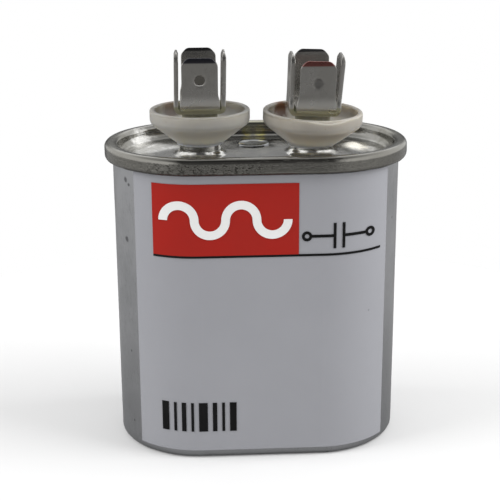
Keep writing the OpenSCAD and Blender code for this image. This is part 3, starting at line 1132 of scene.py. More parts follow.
@dataclass
class Lid:
    """Pressed lid with its double seam, well, two drawn collars and small pressing marks.

    Attributes:
        case: the case that it closes.
        sag: depth of the shallow waves in the well's floor.
        crown: how much the floor falls towards its ends.
        crown_from: distance from the middle where that fall starts.
        crown_over: length over which it falls.
        fade: distance from the floor's edges over which waves and swells rise.
        chatter: depth of the marks left by the seaming roller.
        hook_h: length of the cover hook inside the seam.
        mounds: soft swells of the floor: middle, half-widths and height in millimetres.
    """

    case: Case
    sag: float = 0.14 * MM
    crown: float = 0.6 * MM
    crown_from: float = 14.5 * MM
    crown_over: float = 7.5 * MM
    fade: float = 2.6 * MM
    chatter: float = 0.05 * MM
    hook_h: float = 1.6 * MM
    mounds: tuple[tuple[float, ...], ...] = ((19.4, 7.0, 2.6, 4.6, 0.75), (-19.6, 7.6, 4.4, 4.0, 0.75))

    def section(self) -> list[Point2]:
        """Draws the lid's edge: floor fold, wall, roll over the can's hook, outer wall and hook.

        Returns:
            Points as distance from the oval's spine and height.
        """
        case, half = self.case, self.case.lid_t / 2
        top_bend_r = 0.55 * MM
        foot_bend_r = (case.skirt_r - case.hook_r - case.lid_t) / 2
        bend_z = case.top - case.lid_t - top_bend_r
        foot_z = case.seam_foot + case.lid_t + foot_bend_r
        route = SheetRoute(case.well_r, case.floor_z - half, 0.0)
        route.bend(case.well_fold_r + half, 90.0, 10)
        route.run(bend_z - route.z, 4)
        route.bend(top_bend_r + half, -90.0, 8)
        route.run(case.skirt_r - top_bend_r - route.r, 2)
        route.bend(top_bend_r + half, -90.0, 8)
        route.run(route.z - foot_z, 10)
        route.bend(foot_bend_r + half, -180.0, 10)
        route.run(self.hook_h, 2)
        return route.outline(case.lid_t)

    def collar(self, side: Side) -> list[Point2]:
        """Draws a collar: fillet on the floor and upright neck.

        Args:
            side: which collar.

        Returns:
            Points as distance from the collar's axis and height.
        """
        case, half = self.case, self.case.lid_t / 2
        route = SheetRoute(case.collar_foot_r, case.floor_z - half, 180.0)
        route.bend(case.collar_fold_r + half, -90.0, 10)
        route.run(case.collar_z(side) - route.z, 3)
        return route.outline(case.lid_t)

    def waves(self, place: Vector) -> Vector:
        """Moves a point of the floor with the sheet's shallow waves, which fade at the floor's edges.

        Args:
            place: the point on the flat floor.

        Returns:
            The moved point.
        """
        case = self.case
        along = max(abs(place.x) - case.oval.flat, 0.0)
        edge = case.well_r - math.hypot(along, place.y)
        neck = math.hypot(abs(place.x) - case.terminal_x, place.y) - case.collar_foot_r
        share = min(max(min(edge, neck) / self.fade, 0.0), 1.0)
        share = share * share * (3 - 2 * share)
        end = min(max((abs(place.x) - self.crown_from) / self.crown_over, 0.0), 1.0)
        fall = self.crown * end * end * (3 - 2 * end)
        wave = self.sag * ripple(Vector((place.x, place.y, 0)), 0.085, 1)
        for x, y, wide, deep, rise in self.mounds:
            far = ((place.x / MM - x) / wide) ** 2 + ((place.y / MM - y) / deep) ** 2
            wave += rise * MM * math.exp(-far)
        return place + Vector((0, 0, share * (wave - fall)))

    def rolled(self, place: Vector) -> Vector:
        """Presses roller marks and small dents into the seam's outer wall and lower edge.

        Args:
            place: the point on the even seam.

        Returns:
            The moved point.
        """
        case = self.case
        centre_x = max(min(place.x, case.oval.flat), -case.oval.flat)
        out = Vector((place.x - centre_x, place.y, 0))
        depth = out.length - case.can_hook_r
        if depth <= 0:
            return place
        level = (place.z - case.seam_foot) / case.seam_h
        outer = min(depth / (0.6 * MM), 1.0)
        share = outer * max(0.0, 1.0 - level ** 3)
        fine = ripple(Vector((place.x, place.y, place.z * 2.2)), 0.9, 3)
        broad = ripple(Vector((place.x, place.y, 0.3)), 0.22, 2)
        push = self.chatter * share * (0.55 * fine + 0.9 * broad - 0.5)
        low = max(0.0, 1.0 - level * 1.6)
        lift = 0.07 * MM * share * low * ripple(Vector((place.x, place.y, 9.0)), 0.45, 2)
        return place + out.normalized() * push + Vector((0, 0, max(lift, -0.05 * MM)))

    def build(self) -> bpy.types.Object:
        """Builds the lid as one closed sheet.

        Returns:
            The lid.
        """
        case = self.case
        bm = bmesh.new()
        case.oval.sweep(bm, self.section(), self.rolled)
        neck_steps = 96
        for side in Side:
            turn(bm, self.collar(side), (side.value * case.terminal_x, 0.0), neck_steps)
        loops = [case.oval.ring(case.well_r)]
        for side in Side:
            loops.append([(side.value * case.terminal_x + case.collar_foot_r * math.cos(angle),
                           case.collar_foot_r * math.sin(angle))
                          for angle in (2 * math.pi * k / neck_steps for k in range(neck_steps))])
        points, triangles = triangulate(loops, 0.55 * MM, case.on_floor)
        for level in (case.floor_z, case.floor_z - case.lid_t):
            verts = [bm.verts.new(self.waves(Vector((x, y, level)))) for x, y in points]
            for face in triangles:
                bm.faces.new([verts[k] for k in face])
        bmesh.ops.remove_doubles(bm, verts=bm.verts, dist=WELD)
        return finish_mesh(bm, "seamed_lid")

    def dress(self, piece: bpy.types.Object) -> None:
        """Gives the lid its tin plate: bright in the well, greyer on the walls, with painted shade at the
        seam's foot and the painted highlights and shade of its marks.

        Args:
            piece: the lid.
        """
        case = self.case
        paint = TinPlate("lid_tinplate", (0.48, 0.48, 0.465), (0.40, 0.395, 0.37), stretch=(1.0, 1.0, 9.0),
                         rough=0.11, scratch=0.5, relief_mm=0.006).make()
        sheet, flat = paint.sheet, case.oval.flat
        well_wall = OUTSIDE.use(sheet, flat=flat, low=case.well_r, high=case.well_r + 1.2 * MM)
        outer_wall = OUTSIDE.use(sheet, flat=flat, low=case.can_hook_r, high=case.skirt_r)
        # foot: mask of the painted shade in the crease at the seam's foot, where the seam turns under.
        foot = BAND.use(sheet, low=case.seam_foot + 0.65 * MM, high=case.seam_foot + 0.2 * MM)
        paint.lay(well_wall, (0.25, 0.245, 0.225), 0.8)
        paint.lay(outer_wall, (0.235, 0.225, 0.20), 0.5)
        # Painted shade: a dark band along the foot of the seam's outer wall.
        paint.lay(sheet.math("MULTIPLY", outer_wall, foot), (0.09, 0.085, 0.075))
        self.scuff(paint, outer_wall)
        for mark in self.marks():
            paint.mark(mark)
        dress(piece, paint)

    def scuff(self, paint: Paint, outer_wall: bpy.types.NodeSocket) -> None:
        """Rubs the seam's outer wall, most on the left half of the front.

        Args:
            paint: the lid's paint.
            outer_wall: mask of the outer wall.
        """
        case, sheet = self.case, paint.sheet
        rubs = SMUDGES.use(sheet, scale=1500.0, low=0.47, high=0.56, stretch=(1.0, 1.0, 1.8))
        middle = (-9.5 * MM, -case.seam_r, case.seam_foot + 1.2 * MM)
        strength = sheet.remap(PATCH.use(sheet, centre=middle, radius=13 * MM), 0.0, 1.0, 0.25, 1.0)
        below = BAND.use(sheet, low=case.top - 0.6 * MM, high=case.top - 1.3 * MM)
        worn = sheet.math("MULTIPLY", sheet.math("MULTIPLY", rubs, strength), below)
        worn = sheet.math("MULTIPLY", worn, outer_wall)
        paint.lay(worn, (0.06, 0.056, 0.048), 0.75)
        paint.bump(worn, -0.03)

    def marks(self) -> list[Mark]:
        """Lists the flux on the back wall, painted shade at both ends, and painted highlights round the
        collars, on the floor and on the back of the seam.

        Returns:
            The marks, in the order in which they are laid.
        """
        floor, top, terminal_x = self.case.floor_z / MM, self.case.top / MM, self.case.terminal_x / MM
        back = self.case.chuck_r0 / MM - 0.3
        found = [Mark((-0.9, back, floor + 0.9), 1.25, (0.50, 0.44, 0.14), 0.85),
                 Mark((1.6, back, floor + 0.9), 1.35, (0.60, 0.52, 0.08), 0.85),
                 Mark((0.3, back, floor + 1.3), 0.8, (0.24, 0.12, 0.05), 0.85)]
        for side in Side:
            # Painted shade over each end of the well and seam.
            found.append(Mark((25.6 * side.value, 0.0, floor + 2.5), 8.5, (0.20, 0.195, 0.17), 0.85))
            # Painted highlight round each collar.
            found.append(Mark((terminal_x * side.value, 0.0, floor + 1.5), 5.2, (0.86, 0.855, 0.82), 0.95))
        # Painted highlights on the floor, at the right front and the left back.
        found.append(Mark((18.4, 4.5, floor + 0.5), 3.6, (0.95, 0.91, 0.80), 0.9))
        found.append(Mark((-20.0, 8.2, floor + 0.5), 3.6, (0.92, 0.91, 0.88), 0.9))
        # Painted highlight on the back of the seam.
        found.append(Mark((0.6, back + 1.2, top - 0.4), 3.4, (0.66, 0.64, 0.50), 0.7))
        return found


@dataclass
class Can:
    """Drawn can: flat bottom, rounded bottom edge with slight dents, and upright walls.

    Attributes:
        case: the case's sizes.
        edge_r: radius of the bottom edge.
        hook_h: height of the can's hook above the seam's foot.
        dent: depth of the slight unevenness of the wall.
        calm: height under the seam's foot where the wall is even.
    """

    case: Case
    edge_r: float = 1.2 * MM
    hook_h: float = 2.2 * MM
    dent: float = 0.06 * MM
    calm: float = 0.5 * MM

    def section(self) -> list[Point2]:
        """Draws the wall from the bottom's edge to the seam.

        Returns:
            Points as distance from the oval's spine and height.
        """
        case, half = self.case, self.case.can_t / 2
        route = SheetRoute(case.body_r - self.edge_r, half, 0.0)
        route.bend(self.edge_r - half, 90.0, 10)
        route.run(case.seam_foot + self.hook_h - route.z, 56)
        return route.outline(case.can_t)

    def uneven(self, place: Vector) -> Vector:
        """Moves a point of the wall in a little, most near the bottom edge.

        Args:
            place: the point on the even wall.

        Returns:
            The moved point.
        """
        case = self.case
        below = case.seam_foot - self.calm - place.z
        if below < 0:
            return place
        centre_x = max(min(place.x, case.oval.flat), -case.oval.flat)
        out = Vector((place.x - centre_x, place.y, 0))
        if out.length < 1 * MM:
            return place
        fade = min(below / (8 * MM), 1.0)
        broad = min(ripple(Vector((place.x, place.y, place.z * 0.6)), 0.07, 2), 0.0)
        foot = max(0.0, 1.0 - place.z / (5 * MM))
        fine = min(ripple(Vector((place.x, place.y, place.z)), 0.3, 2), 0.0)
        return place + out.normalized() * self.dent * fade * (broad + 1.6 * foot * fine)

    def build(self) -> bpy.types.Object:
        """Builds the can with its flat bottom.

        Returns:
            The can.
        """
        case = self.case
        bm = bmesh.new()
        case.oval.sweep(bm, self.section(), self.uneven)
        inner_r = case.body_r - self.edge_r
        ring = case.oval.ring(inner_r)

        def inside(x: float, y: float, margin: float) -> bool:
            """Says whether a point lies on the flat bottom."""
            return math.hypot(max(abs(x) - case.oval.flat, 0.0), y) < inner_r - margin

        points, triangles = triangulate([ring], 2.0 * MM, inside)
        for level in (0.0, case.can_t):
            verts = [bm.verts.new((x, y, level)) for x, y in points]
            for face in triangles:
                bm.faces.new([verts[k] for k in face])
        bmesh.ops.remove_doubles(bm, verts=bm.verts, dist=WELD)
        return finish_mesh(bm, "drawn_can")


# ---- Terminals ----


@dataclass
class Cup:
    """Moulded cup on a collar, with soft edges, an uneven lip and a flattened stretch of lip.

    Attributes:
        case: the case's sizes.
        side: which terminal it belongs to.
        rim_r: outside radius of the rim.
        band_h: height of the band under the rim.
        wall: wall of the bowl.
        uneven: unevenness of the lip.
        pinch_deg: direction of the flattened stretch of lip, or none.
        pinch_half_deg: angle from its middle to its ends.
        pinch: how much lower its outer edge is.
    """

    case: Case
    side: Side
    rim_r: float = 9.0 * MM
    band_h: float = 2.2 * MM
    wall: float = 0.95 * MM
    uneven: float = 0.05 * MM
    pinch_deg: float | None = None
    pinch_half_deg: float = 30.0
    pinch: float = 0.55 * MM

    def section(self) -> list[Point2]:
        """Draws the bowl from its foot, up outside, over the rim and down inside to the hub.

        Returns:
            Points as distance from the cup's axis and height above its collar.
        """
        foot, floor, top = 0.35 * MM, 1.7 * MM, self.case.cup_h
        band = top - self.band_h
        post_r, foot_r, floor_r, inner_r = 3.0 * MM, 4.4 * MM, 4.6 * MM, self.rim_r - self.wall
        corners = [(post_r, foot), (foot_r, foot), (self.rim_r - 0.25 * MM, band - 0.3 * MM),
                   (self.rim_r, band + 0.3 * MM), (self.rim_r, top), (inner_r, top),
                   (inner_r - 0.1 * MM, band + 0.6 * MM), (floor_r, floor), (post_r, floor)]
        cuts = [0, 0.25, 0.32, 0.32, 0.34, 0.3, 0.7, 0.9, 0]
        fine = rounded(corners, [cut * MM for cut in cuts])
        points: list[Point2] = []
        for here, there in zip(fine, fine[1:]):
            steps = max(1, round(math.dist(here, there) / (0.55 * MM)))
            points += [(here[0] + (there[0] - here[0]) * k / steps,
                        here[1] + (there[1] - here[1]) * k / steps) for k in range(steps)]
        return [*points, fine[-1]]

    def soften(self, place: Vector) -> Vector:
        """Adds the lip's unevenness and the flattened stretch, then stands the point on the collar.

        Args:
            place: the point on the even cup.

        Returns:
            The moved point.
        """
        radius = math.hypot(place.x, place.y)
        lip = min(max((place.z - (self.case.cup_h - self.band_h)) / self.band_h, 0.0), 1.0)
        out = Vector((place.x, place.y, 0)).normalized() if radius > 0 else Vector()
        moved = place.copy()
        moved += out * (self.uneven * lip * ripple(Vector((place.x, place.y, 0.2)), 0.13, 2))
        moved.z += self.uneven * lip * ripple(Vector((place.x, place.y, 5.0)), 0.2, 2)
        if self.pinch_deg is not None:
            angle = math.degrees(math.atan2(place.y, place.x))
            away = abs((angle - self.pinch_deg + 180) % 360 - 180) / self.pinch_half_deg
            near = max(0.0, 1.0 - away ** 2) ** 2 * lip ** 3
            inner = 1.0 if radius < self.rim_r - 0.6 * self.wall else 0.0
            moved.z -= self.pinch * near * (1 - 0.85 * inner)
        return self.case.stand(self.side) @ moved

    def build(self) -> bpy.types.Object:
        """Builds the bowl with its post, the washer under it and the hub inside the collar.

        Returns:
            The cup.
        """
        case, stand = self.case, self.case.stand(self.side)
        x, rest = self.side.value * case.terminal_x, case.collar_z(self.side)
        bm = bmesh.new()
        turn(bm, self.section(), (0.0, 0.0), 144, self.soften)
        hub_r = case.collar_r - case.lid_t - 0.05 * MM
        bore_r, seat_r, seat_h, post_r = 1.55 * MM, 4.25 * MM, 1.2 * MM, 3.2 * MM
        under = case.floor_z - case.lid_t - 0.8 * MM
        corners = [(bore_r, under), (hub_r, under), (hub_r, rest), (seat_r, rest), (seat_r, rest + seat_h),
                   (bore_r, rest + seat_h), (bore_r, under)]
        cuts = [0, 0.1, 0, 0.15, 0.1, 0, 0]
        turn(bm, rounded(corners, [cut * MM for cut in cuts]), (x, 0.0), 96)
        foot = seat_h - 0.2 * MM
        corners = [(bore_r, foot), (post_r, foot), (post_r, case.tabs_up), (bore_r, case.tabs_up),
                   (bore_r, foot)]
        post = rounded(corners, [0, 0, 0.2 * MM, 0.1 * MM, 0])
        turn(bm, post, (0.0, 0.0), 96, lambda place: stand @ place)
        return finish_mesh(bm, f"{self.side.word}_cup_insulator")

    def dress(self, piece: bpy.types.Object) -> None:
        """Gives the cup its plastic: painted shade on the lip, painted light on the cone and more on the
        foot, painted shade in the bowl, and a stain at the back of the bowl.

        Args:
            piece: the cup.
        """
        right = self.side is Side.RIGHT
        colour = (0.355, 0.335, 0.30) if right else (0.345, 0.335, 0.31)
        paint = CupPlastic(f"{self.side.word}_cup_plastic", colour).make()
        rest, stand = self.case.collar_z(self.side), self.case.stand(self.side)
        lip = rest + self.case.cup_h
        band_foot = lip - self.band_h
        # Painted shade: darker lip.
        paint.band(lip - 0.5 * MM, lip - 0.15 * MM, shade(colour, 0.62), 1.0)
        # Painted light: paler cone under the band, standing in for light thrown up from the lid.
        paint.band(band_foot + 0.2 * MM, band_foot - 0.6 * MM, shade(colour, 1.5), 1.0)
        # Painted light: still paler foot above the collar.
        paint.band(rest + 3.0 * MM, rest + 0.8 * MM, shade(colour, 2.3), 1.0)
        # Painted shade: dark olive in the middle of the bowl, round the post.
        paint.mark(Mark((0.0, 0.0, 5.0), 6.4, (0.21, 0.205, 0.15), 0.9), stand)
        paint.mark(Mark((-5.4, 5.6, 5.2), 2.2, (0.10, 0.035, 0.008), 1.0 if right else 0.5), stand)
        dress(piece, paint)


@dataclass
class TabStamping:
    """One U-shaped stamping with two push-on tabs, cut from a flat blank and folded.

    Attributes:
        name: the piece's name.
        frame: where the underside of the base stands, with the first tab towards -X.
        base_half: half-length of the base's flat.
        tip: height of the tabs above the base's underside.
        splay: lean of the first and the second tab, in degrees.
        pierced: whether the catch is a hole or a dimple.
        thickness: thickness of the stock.
        bend_r: inside radius of a bend.
        half_width: half-width of a tab.
        shoulder: half-width of the base.
        shoulder_z: heights between which the blank narrows from the base to a tab.
        clip: how far the tips' corners are cut off.
        corner_r: length cut back at each rounded corner.
        edge: rounding of the stamped edges.
        catch_r: radius of the catch.
        catch_drop: distance of the catch below the tip.
        nose: length of the coined nose.
        nose_coin: depth of its coining.
        rivet_r: radius of the rivet hole.
    """

    name: str
    frame: Matrix
    base_half: float
    tip: float
    splay: tuple[float, float]
    pierced: bool
    thickness: float = 0.8 * MM
    bend_r: float = 0.3 * MM
    half_width: float = 3.175 * MM
    shoulder: float = 3.5 * MM
    shoulder_z: tuple[float, float] = (1.9 * MM, 3.0 * MM)
    clip: float = 1.1 * MM
    corner_r: float = 0.5 * MM
    edge: float = 0.09 * MM
    catch_r: float = 0.925 * MM
    catch_drop: float = 4.0 * MM
    nose: float = 0.85 * MM
    nose_coin: float = 0.25 * MM
    rivet_r: float = 1.6 * MM

    def __post_init__(self) -> None:
        """Works out how far along the flat blank each feature lies."""
        self.rise = self.bend_r + self.thickness
        self.mid_r = self.bend_r + self.thickness / 2

    def bend_length(self, second: bool) -> float:
        """Length of the blank taken up by a bend."""
        return self.mid_r * math.radians(90 - self.splay[second])

    def along(self, height: float, second: bool) -> float:
        """Distance along the blank from the middle to a height on a tab."""
        return self.base_half + self.bend_length(second) + height - self.rise

    def outline(self) -> list[Point2]:
        """Draws the blank: two tabs with clipped tips, joined by the wider base.

        Returns:
            The closed outline, anticlockwise.
        """
        corners: list[Point2] = []
        for second, sign in ((True, 1), (False, -1)):
            marks = [(self.shoulder_z[0], self.shoulder), (self.shoulder_z[1], self.half_width),
                     (self.tip - self.clip, self.half_width), (self.tip, self.half_width - self.clip)]
            one = [(sign * self.along(height, second), -half) for height, half in marks]
            other = [(u, -v) for u, v in reversed(one)]
            corners += one + other if sign > 0 else [(u, -v) for u, v in one] + [(u, -v) for u, v in other]
        loop: list[Point2] = []
        count = len(corners)
        for k in range(count):
            trio = [corners[k - 1], corners[k], corners[(k + 1) % count]]
            loop += rounded(trio, [0, self.corner_r, 0], 4)[1:-1]
        return dense(loop, 0.32 * MM)

    def holes(self) -> list[list[Point2]]:
        """Draws the catch holes of both tabs and the rivet hole of the base.

        Returns:
            The closed outlines, clockwise.
        """
        found = [(0.0, self.rivet_r)]
        if self.pierced:
            for second, sign in ((True, 1), (False, -1)):
                found.append((sign * self.along(self.tip - self.catch_drop, second), self.catch_r))
        steps = 36
        angles = [-2 * math.pi * k / steps for k in range(steps)]
        return [[(u + radius * math.cos(angle), radius * math.sin(angle)) for angle in angles]
                for u, radius in found]

    def face_depth(self, u: float, v: float, outer: bool) -> float:
        """Depth by which coining lowers a face of the blank at a place.

        Args:
            u: place along the blank.
            v: place across it.
            outer: whether it is the face that ends up outside.

        Returns:
            The depth in metres.
        """
        second = u > 0
        from_tip = self.along(self.tip, second) - abs(u)
        depth = self.nose_coin * min(max(1.0 - from_tip / self.nose, 0.0), 1.0)
        reach = math.hypot(abs(u) - self.along(self.tip - self.catch_drop, second), v)
        if self.pierced and outer:
            depth += 0.13 * MM * min(max(1.0 - (reach - self.catch_r) / (0.25 * MM), 0.0), 1.0)
        elif outer:
            depth += 0.15 * MM * min(max(2.6 * (1.15 - reach / self.catch_r), 0.0), 1.0)
        return depth

    def fold(self, u: float, v: float, w: float) -> Vector:
        """Folds a point of the blank into its place.

        Args:
            u: place along the blank.
            v: place across it.
            w: height over the middle of the sheet, positive outside.

        Returns:
            The point in the frame.
        """
        second = u > 0
        sign = 1 if second else -1
        past = abs(u) - self.base_half
        arc = self.bend_length(second)
        angle = min(max(past, 0.0), arc) / self.mid_r
        straight = max(past - arc, 0.0)
        x = min(abs(u), self.base_half) + (self.mid_r + w) * math.sin(angle) + straight * math.cos(angle)
        z = self.rise - (self.mid_r + w) * math.cos(angle) + straight * math.sin(angle)
        bow = 0.05 * MM * ripple(Vector((u, 0.0, 3.0 + sign)), 0.09, 1) * min(straight / (6 * MM), 1.0)
        local = Vector((sign * (x + bow), v, z))
        return self.frame @ local

    def build(self) -> bpy.types.Object:
        """Builds the folded stamping with rounded edges.

        Returns:
            The stamping.
        """
        loops = [self.outline(), *self.holes()]
        edge, half = self.edge, self.thickness / 2
        inner = [inset(loop, edge) for loop in loops]

        def inside(u: float, v: float, margin: float) -> bool:
            """Says whether a point lies on the inset blank."""
            return within(inner[0], (u, v), margin) and not any(
                within(hole, (u, v), -margin) for hole in inner[1:])

        points, triangles = triangulate(inner, 0.34 * MM, inside)
        bm = bmesh.new()
        for face, outer in ((1, True), (-1, False)):
            places = [self.fold(u, v, face * (half - self.face_depth(u, v, outer))) for u, v in points]
            verts = [bm.verts.new(place) for place in places]
            for triangle in triangles:
                bm.faces.new([verts[k] for k in triangle])
        over = ((1.0, 0.0), (0.45, 0.12), (0.12, 0.45), (0.0, 1.0))  # rounded edge: shares inwards and down
        for loop, shrunk in zip(loops, inner):
            rows = []
            for (u, v), (iu, iv) in zip(loop, shrunk):
                row = []
                top = half - self.face_depth(iu, iv, True)
                low = half - self.face_depth(iu, iv, False)
                for share, drop in over:
                    row.append(self.fold(u + (iu - u) * share, v + (iv - v) * share, top - edge * drop))
                for share, drop in reversed(over):
                    row.append(self.fold(u + (iu - u) * share, v + (iv - v) * share, edge * drop - low))
                rows.append([bm.verts.new(place) for place in row])
            stitch(bm, rows, closed=True)
        bmesh.ops.remove_doubles(bm, verts=bm.verts, dist=WELD)
        return finish_mesh(bm, self.name, crease_deg=50.0)


def dense(loop: Sequence[Point2], spacing: float) -> list[Point2]:
    """Adds points to a closed loop so that none are further apart than the spacing.

    Args:
        loop: closed loop of points.
        spacing: greatest distance between two points.

    Returns:
        The denser loop.
    """
    points: list[Point2] = []
    for here, there in zip(loop, [*loop[1:], loop[0]]):
        steps = max(1, math.ceil(math.dist(here, there) / spacing))
        points += [(here[0] + (there[0] - here[0]) * k / steps,
                    here[1] + (there[1] - here[1]) * k / steps) for k in range(steps)]
    return points


def inset(loop: Sequence[Point2], depth: float) -> list[Point2]:
    """Moves an anticlockwise loop inwards, or a clockwise one outwards.

    Args:
        loop: closed loop of points.
        depth: distance moved.

    Returns:
        The moved loop.
    """
    moved: list[Point2] = []
    count = len(loop)
    for k in range(count):
        before, after = Vector(loop[k - 1]), Vector(loop[(k + 1) % count])
        way = (after - before).normalized()
        moved.append((loop[k][0] - way.y * depth, loop[k][1] + way.x * depth))
    return moved


def within(loop: Sequence[Point2], point: Point2, margin: float) -> bool:
    """Says whether a point lies inside a loop by at least a margin.

    Args:
        loop: closed loop of points.
        point: the point to test.
        margin: distance kept from the loop; a negative one widens the loop.

    Returns:
        Whether the point is inside.
    """
    u, v = point
    crossings = 0
    nearest = math.inf
    for (au, av), (bu, bv) in zip(loop, [*loop[1:], loop[0]]):
        if (av > v) != (bv > v) and u < au + (v - av) / (bv - av) * (bu - au):
            crossings += 1
        length = (bu - au) ** 2 + (bv - av) ** 2
        share = min(max(((u - au) * (bu - au) + (v - av) * (bv - av)) / length, 0.0), 1.0) if length else 0.0
        nearest = min(nearest, math.hypot(u - au - share * (bu - au), v - av - share * (bv - av)))
    inner = crossings % 2 == 1
    if margin >= 0:
        return inner and nearest >= margin
    return inner or nearest < -margin


@dataclass
class Terminal:
    """Two crossed stampings on a cup.

    Attributes:
        case: the case's sizes.
        side: left or right.
        pierced: whether the catches are holes.
        side_splay: lean of the left and the right side tab away from the middle.
    """

    case: Case
    side: Side
    pierced: bool
    side_splay: tuple[float, float]

    def build(self) -> list[tuple[bpy.types.Object, str]]:
        """Builds both stampings.

        Returns:
            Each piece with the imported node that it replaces.
        """
        word, stand = self.side.word, self.case.stand(self.side)
        made = []
        for kind, turn_deg, level, base_half, tip, splay in (
                ("side", 0.0, 0.0, 3.5 * MM, 10.7 * MM, self.side_splay),
                ("cross", 90.0, 0.8 * MM, 4.6 * MM, 9.7 * MM, (6.5, 6.5))):
            base = stand @ Matrix.Translation((0.0, 0.0, self.case.tabs_up + level))
            base = base @ Matrix.Rotation(math.radians(turn_deg), 4, "Z")
            stamping = TabStamping(f"{word}_{kind}_stamping", base, base_half, tip, splay, self.pierced)
            made.append((stamping.build(), f"{word}_{kind}_tabs"))
        return made

    def dress(self, piece: bpy.types.Object) -> None:
        """Gives a stamping its tin: greyer blades, lighter side stampings, a painted highlight and an olive
        painted reflection at the foot, painted shade in the catch dimples, and coloured noses.

        Args:
            piece: the stamping.
        """
        cross = "cross" in piece.name
        # light: painted light; the side stampings are made lighter than the crossed ones of the same tin.
        light = 1.0 if cross else 1.35
        paint = TinPlate(f"{piece.name}_tin", shade((0.39, 0.38, 0.36), light),
                         shade((0.34, 0.33, 0.31), light), stretch=(4.0, 4.0, 1.0), rough=0.24, scratch=0.25,
                         relief_mm=0.014).make()
        stand = self.case.stand(self.side)
        foot = self.case.collar_z(self.side) + self.case.tabs_up
        # Painted highlight: a pale band on the blades' lower bend.
        paint.band(foot + 4.0 * MM, foot + 2.2 * MM, (0.66, 0.65, 0.62), 0.9)
        # Painted reflection: an olive band at the folds, where the cup's plastic shows in the tin.
        paint.band(foot + 1.5 * MM, foot + 1.2 * MM, (0.52, 0.52, 0.38), 0.9)
        if not self.pierced:
            for y in (-6.25, 6.25):
                # Painted shade: a dark disc in each catch dimple.
                paint.mark(Mark((0.0, y, 12.2), 1.25, (0.21, 0.205, 0.195), 1.0), stand)
        if cross:
            self.colour_noses(paint, max(corner[2] for corner in piece.bound_box))
        dress(piece, paint)

    def colour_noses(self, paint: Paint, top: float) -> None:
        """Lays painted shade on both coined noses, and gives the front one a taller band: more painted shade
        on the pierced terminal, red on the other.

        Args:
            paint: the stamping's paint.
            top: height of the tips.
        """
        sheet, stand = paint.sheet, self.case.stand(self.side)
        # Painted shade on the coined bevel of every nose.
        paint.band(top - 0.65 * MM, top - 0.45 * MM, (0.05, 0.05, 0.055), 0.9)
        # The pierced terminal's front band is dark painted shade; the other's is red.
        drop, colour = (1.0, (0.035, 0.035, 0.045)) if self.pierced else (1.35, (0.25, 0.085, 0.075))
        front = PATCH.use(sheet, centre=stand @ (Vector((0.4, -6.6, 16.1)) * MM), radius=6.5 * MM)
        nose = BAND.use(sheet, low=top - drop * MM, high=top - (drop - 0.25) * MM)
        paint.lay(sheet.math("MULTIPLY", front, nose), colour, 0.95)


@dataclass
class SolderSeal:
    """Low puddle of solder over the vent hole, with a raised edge, an uneven outline and flux.

    Attributes:
        case: the case's sizes.
        radius: radius of the puddle.
        set_back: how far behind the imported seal's middle it has run.
        profile: its section from the rim inwards, as share of the radius and height in millimetres.
        uneven: unevenness of its outline, as a share of the radius.
    """

    case: Case
    radius: float = 2.95 * MM
    set_back: float = 1.2 * MM
    profile: tuple[Point2, ...] = ((0.97, -0.15), (1.0, 0.0), (0.97, 0.20), (0.90, 0.28), (0.82, 0.26),
                                   (0.66, 0.21), (0.5, 0.18), (0.25, 0.18), (0.01, 0.18))
    uneven: float = 0.10

    def centre(self) -> Point2:
        """Gives the middle of the puddle."""
        low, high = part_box("vent_seal")
        return (low.x + high.x) / 2, (low.y + high.y) / 2 + self.set_back

    def build(self) -> bpy.types.Object:
        """Builds the puddle on the lid's floor.

        Returns:
            The puddle.
        """
        centre, floor = self.centre(), self.case.floor_z
        soft = 0.15 * MM
        outline = rounded([(self.radius * share, floor + rise * MM) for share, rise in self.profile],
                          [0.0, *[soft] * (len(self.profile) - 2), 0.0], 4)

        def lumpy(place: Vector) -> Vector:
            """Moves a point of the puddle so that its outline and edge are uneven.

            Args:
                place: the point on the even puddle.

            Returns:
                The moved point.
            """
            out = Vector((place.x - centre[0], place.y - centre[1], 0))
            level = ripple(Vector((place.x, place.y, 2.0)), 0.3, 2)
            swell = max(place.z - floor, 0.0) * 0.5 * ripple(Vector((place.x, place.y, 7.0)), 0.25, 1)
            return place + out * (self.uneven * level) + Vector((0, 0, swell))

        bm = bmesh.new()
        turn(bm, outline, centre, 72, lumpy)
        return finish_mesh(bm, "solder_seal", crease_deg=60.0)

    def dress(self, piece: bpy.types.Object) -> None:
        """Gives the puddle its dull solder finish with a little flux at its edge.

        Args:
            piece: the puddle.
        """
        paint = TinPlate("solder", (0.25, 0.255, 0.26), (0.17, 0.18, 0.16), stretch=EVEN, rough=0.16,
                         scratch=0.2, relief_mm=0.01).make()
        stand = Matrix.Translation((*self.centre(), self.case.floor_z))
        paint.mark(Mark((-2.4, -0.4, 0.3), 0.8, (0.42, 0.36, 0.22)), stand)
        paint.mark(Mark((1.6, 2.0, 0.3), 0.7, (0.50, 0.48, 0.22)), stand)
        dress(piece, paint)


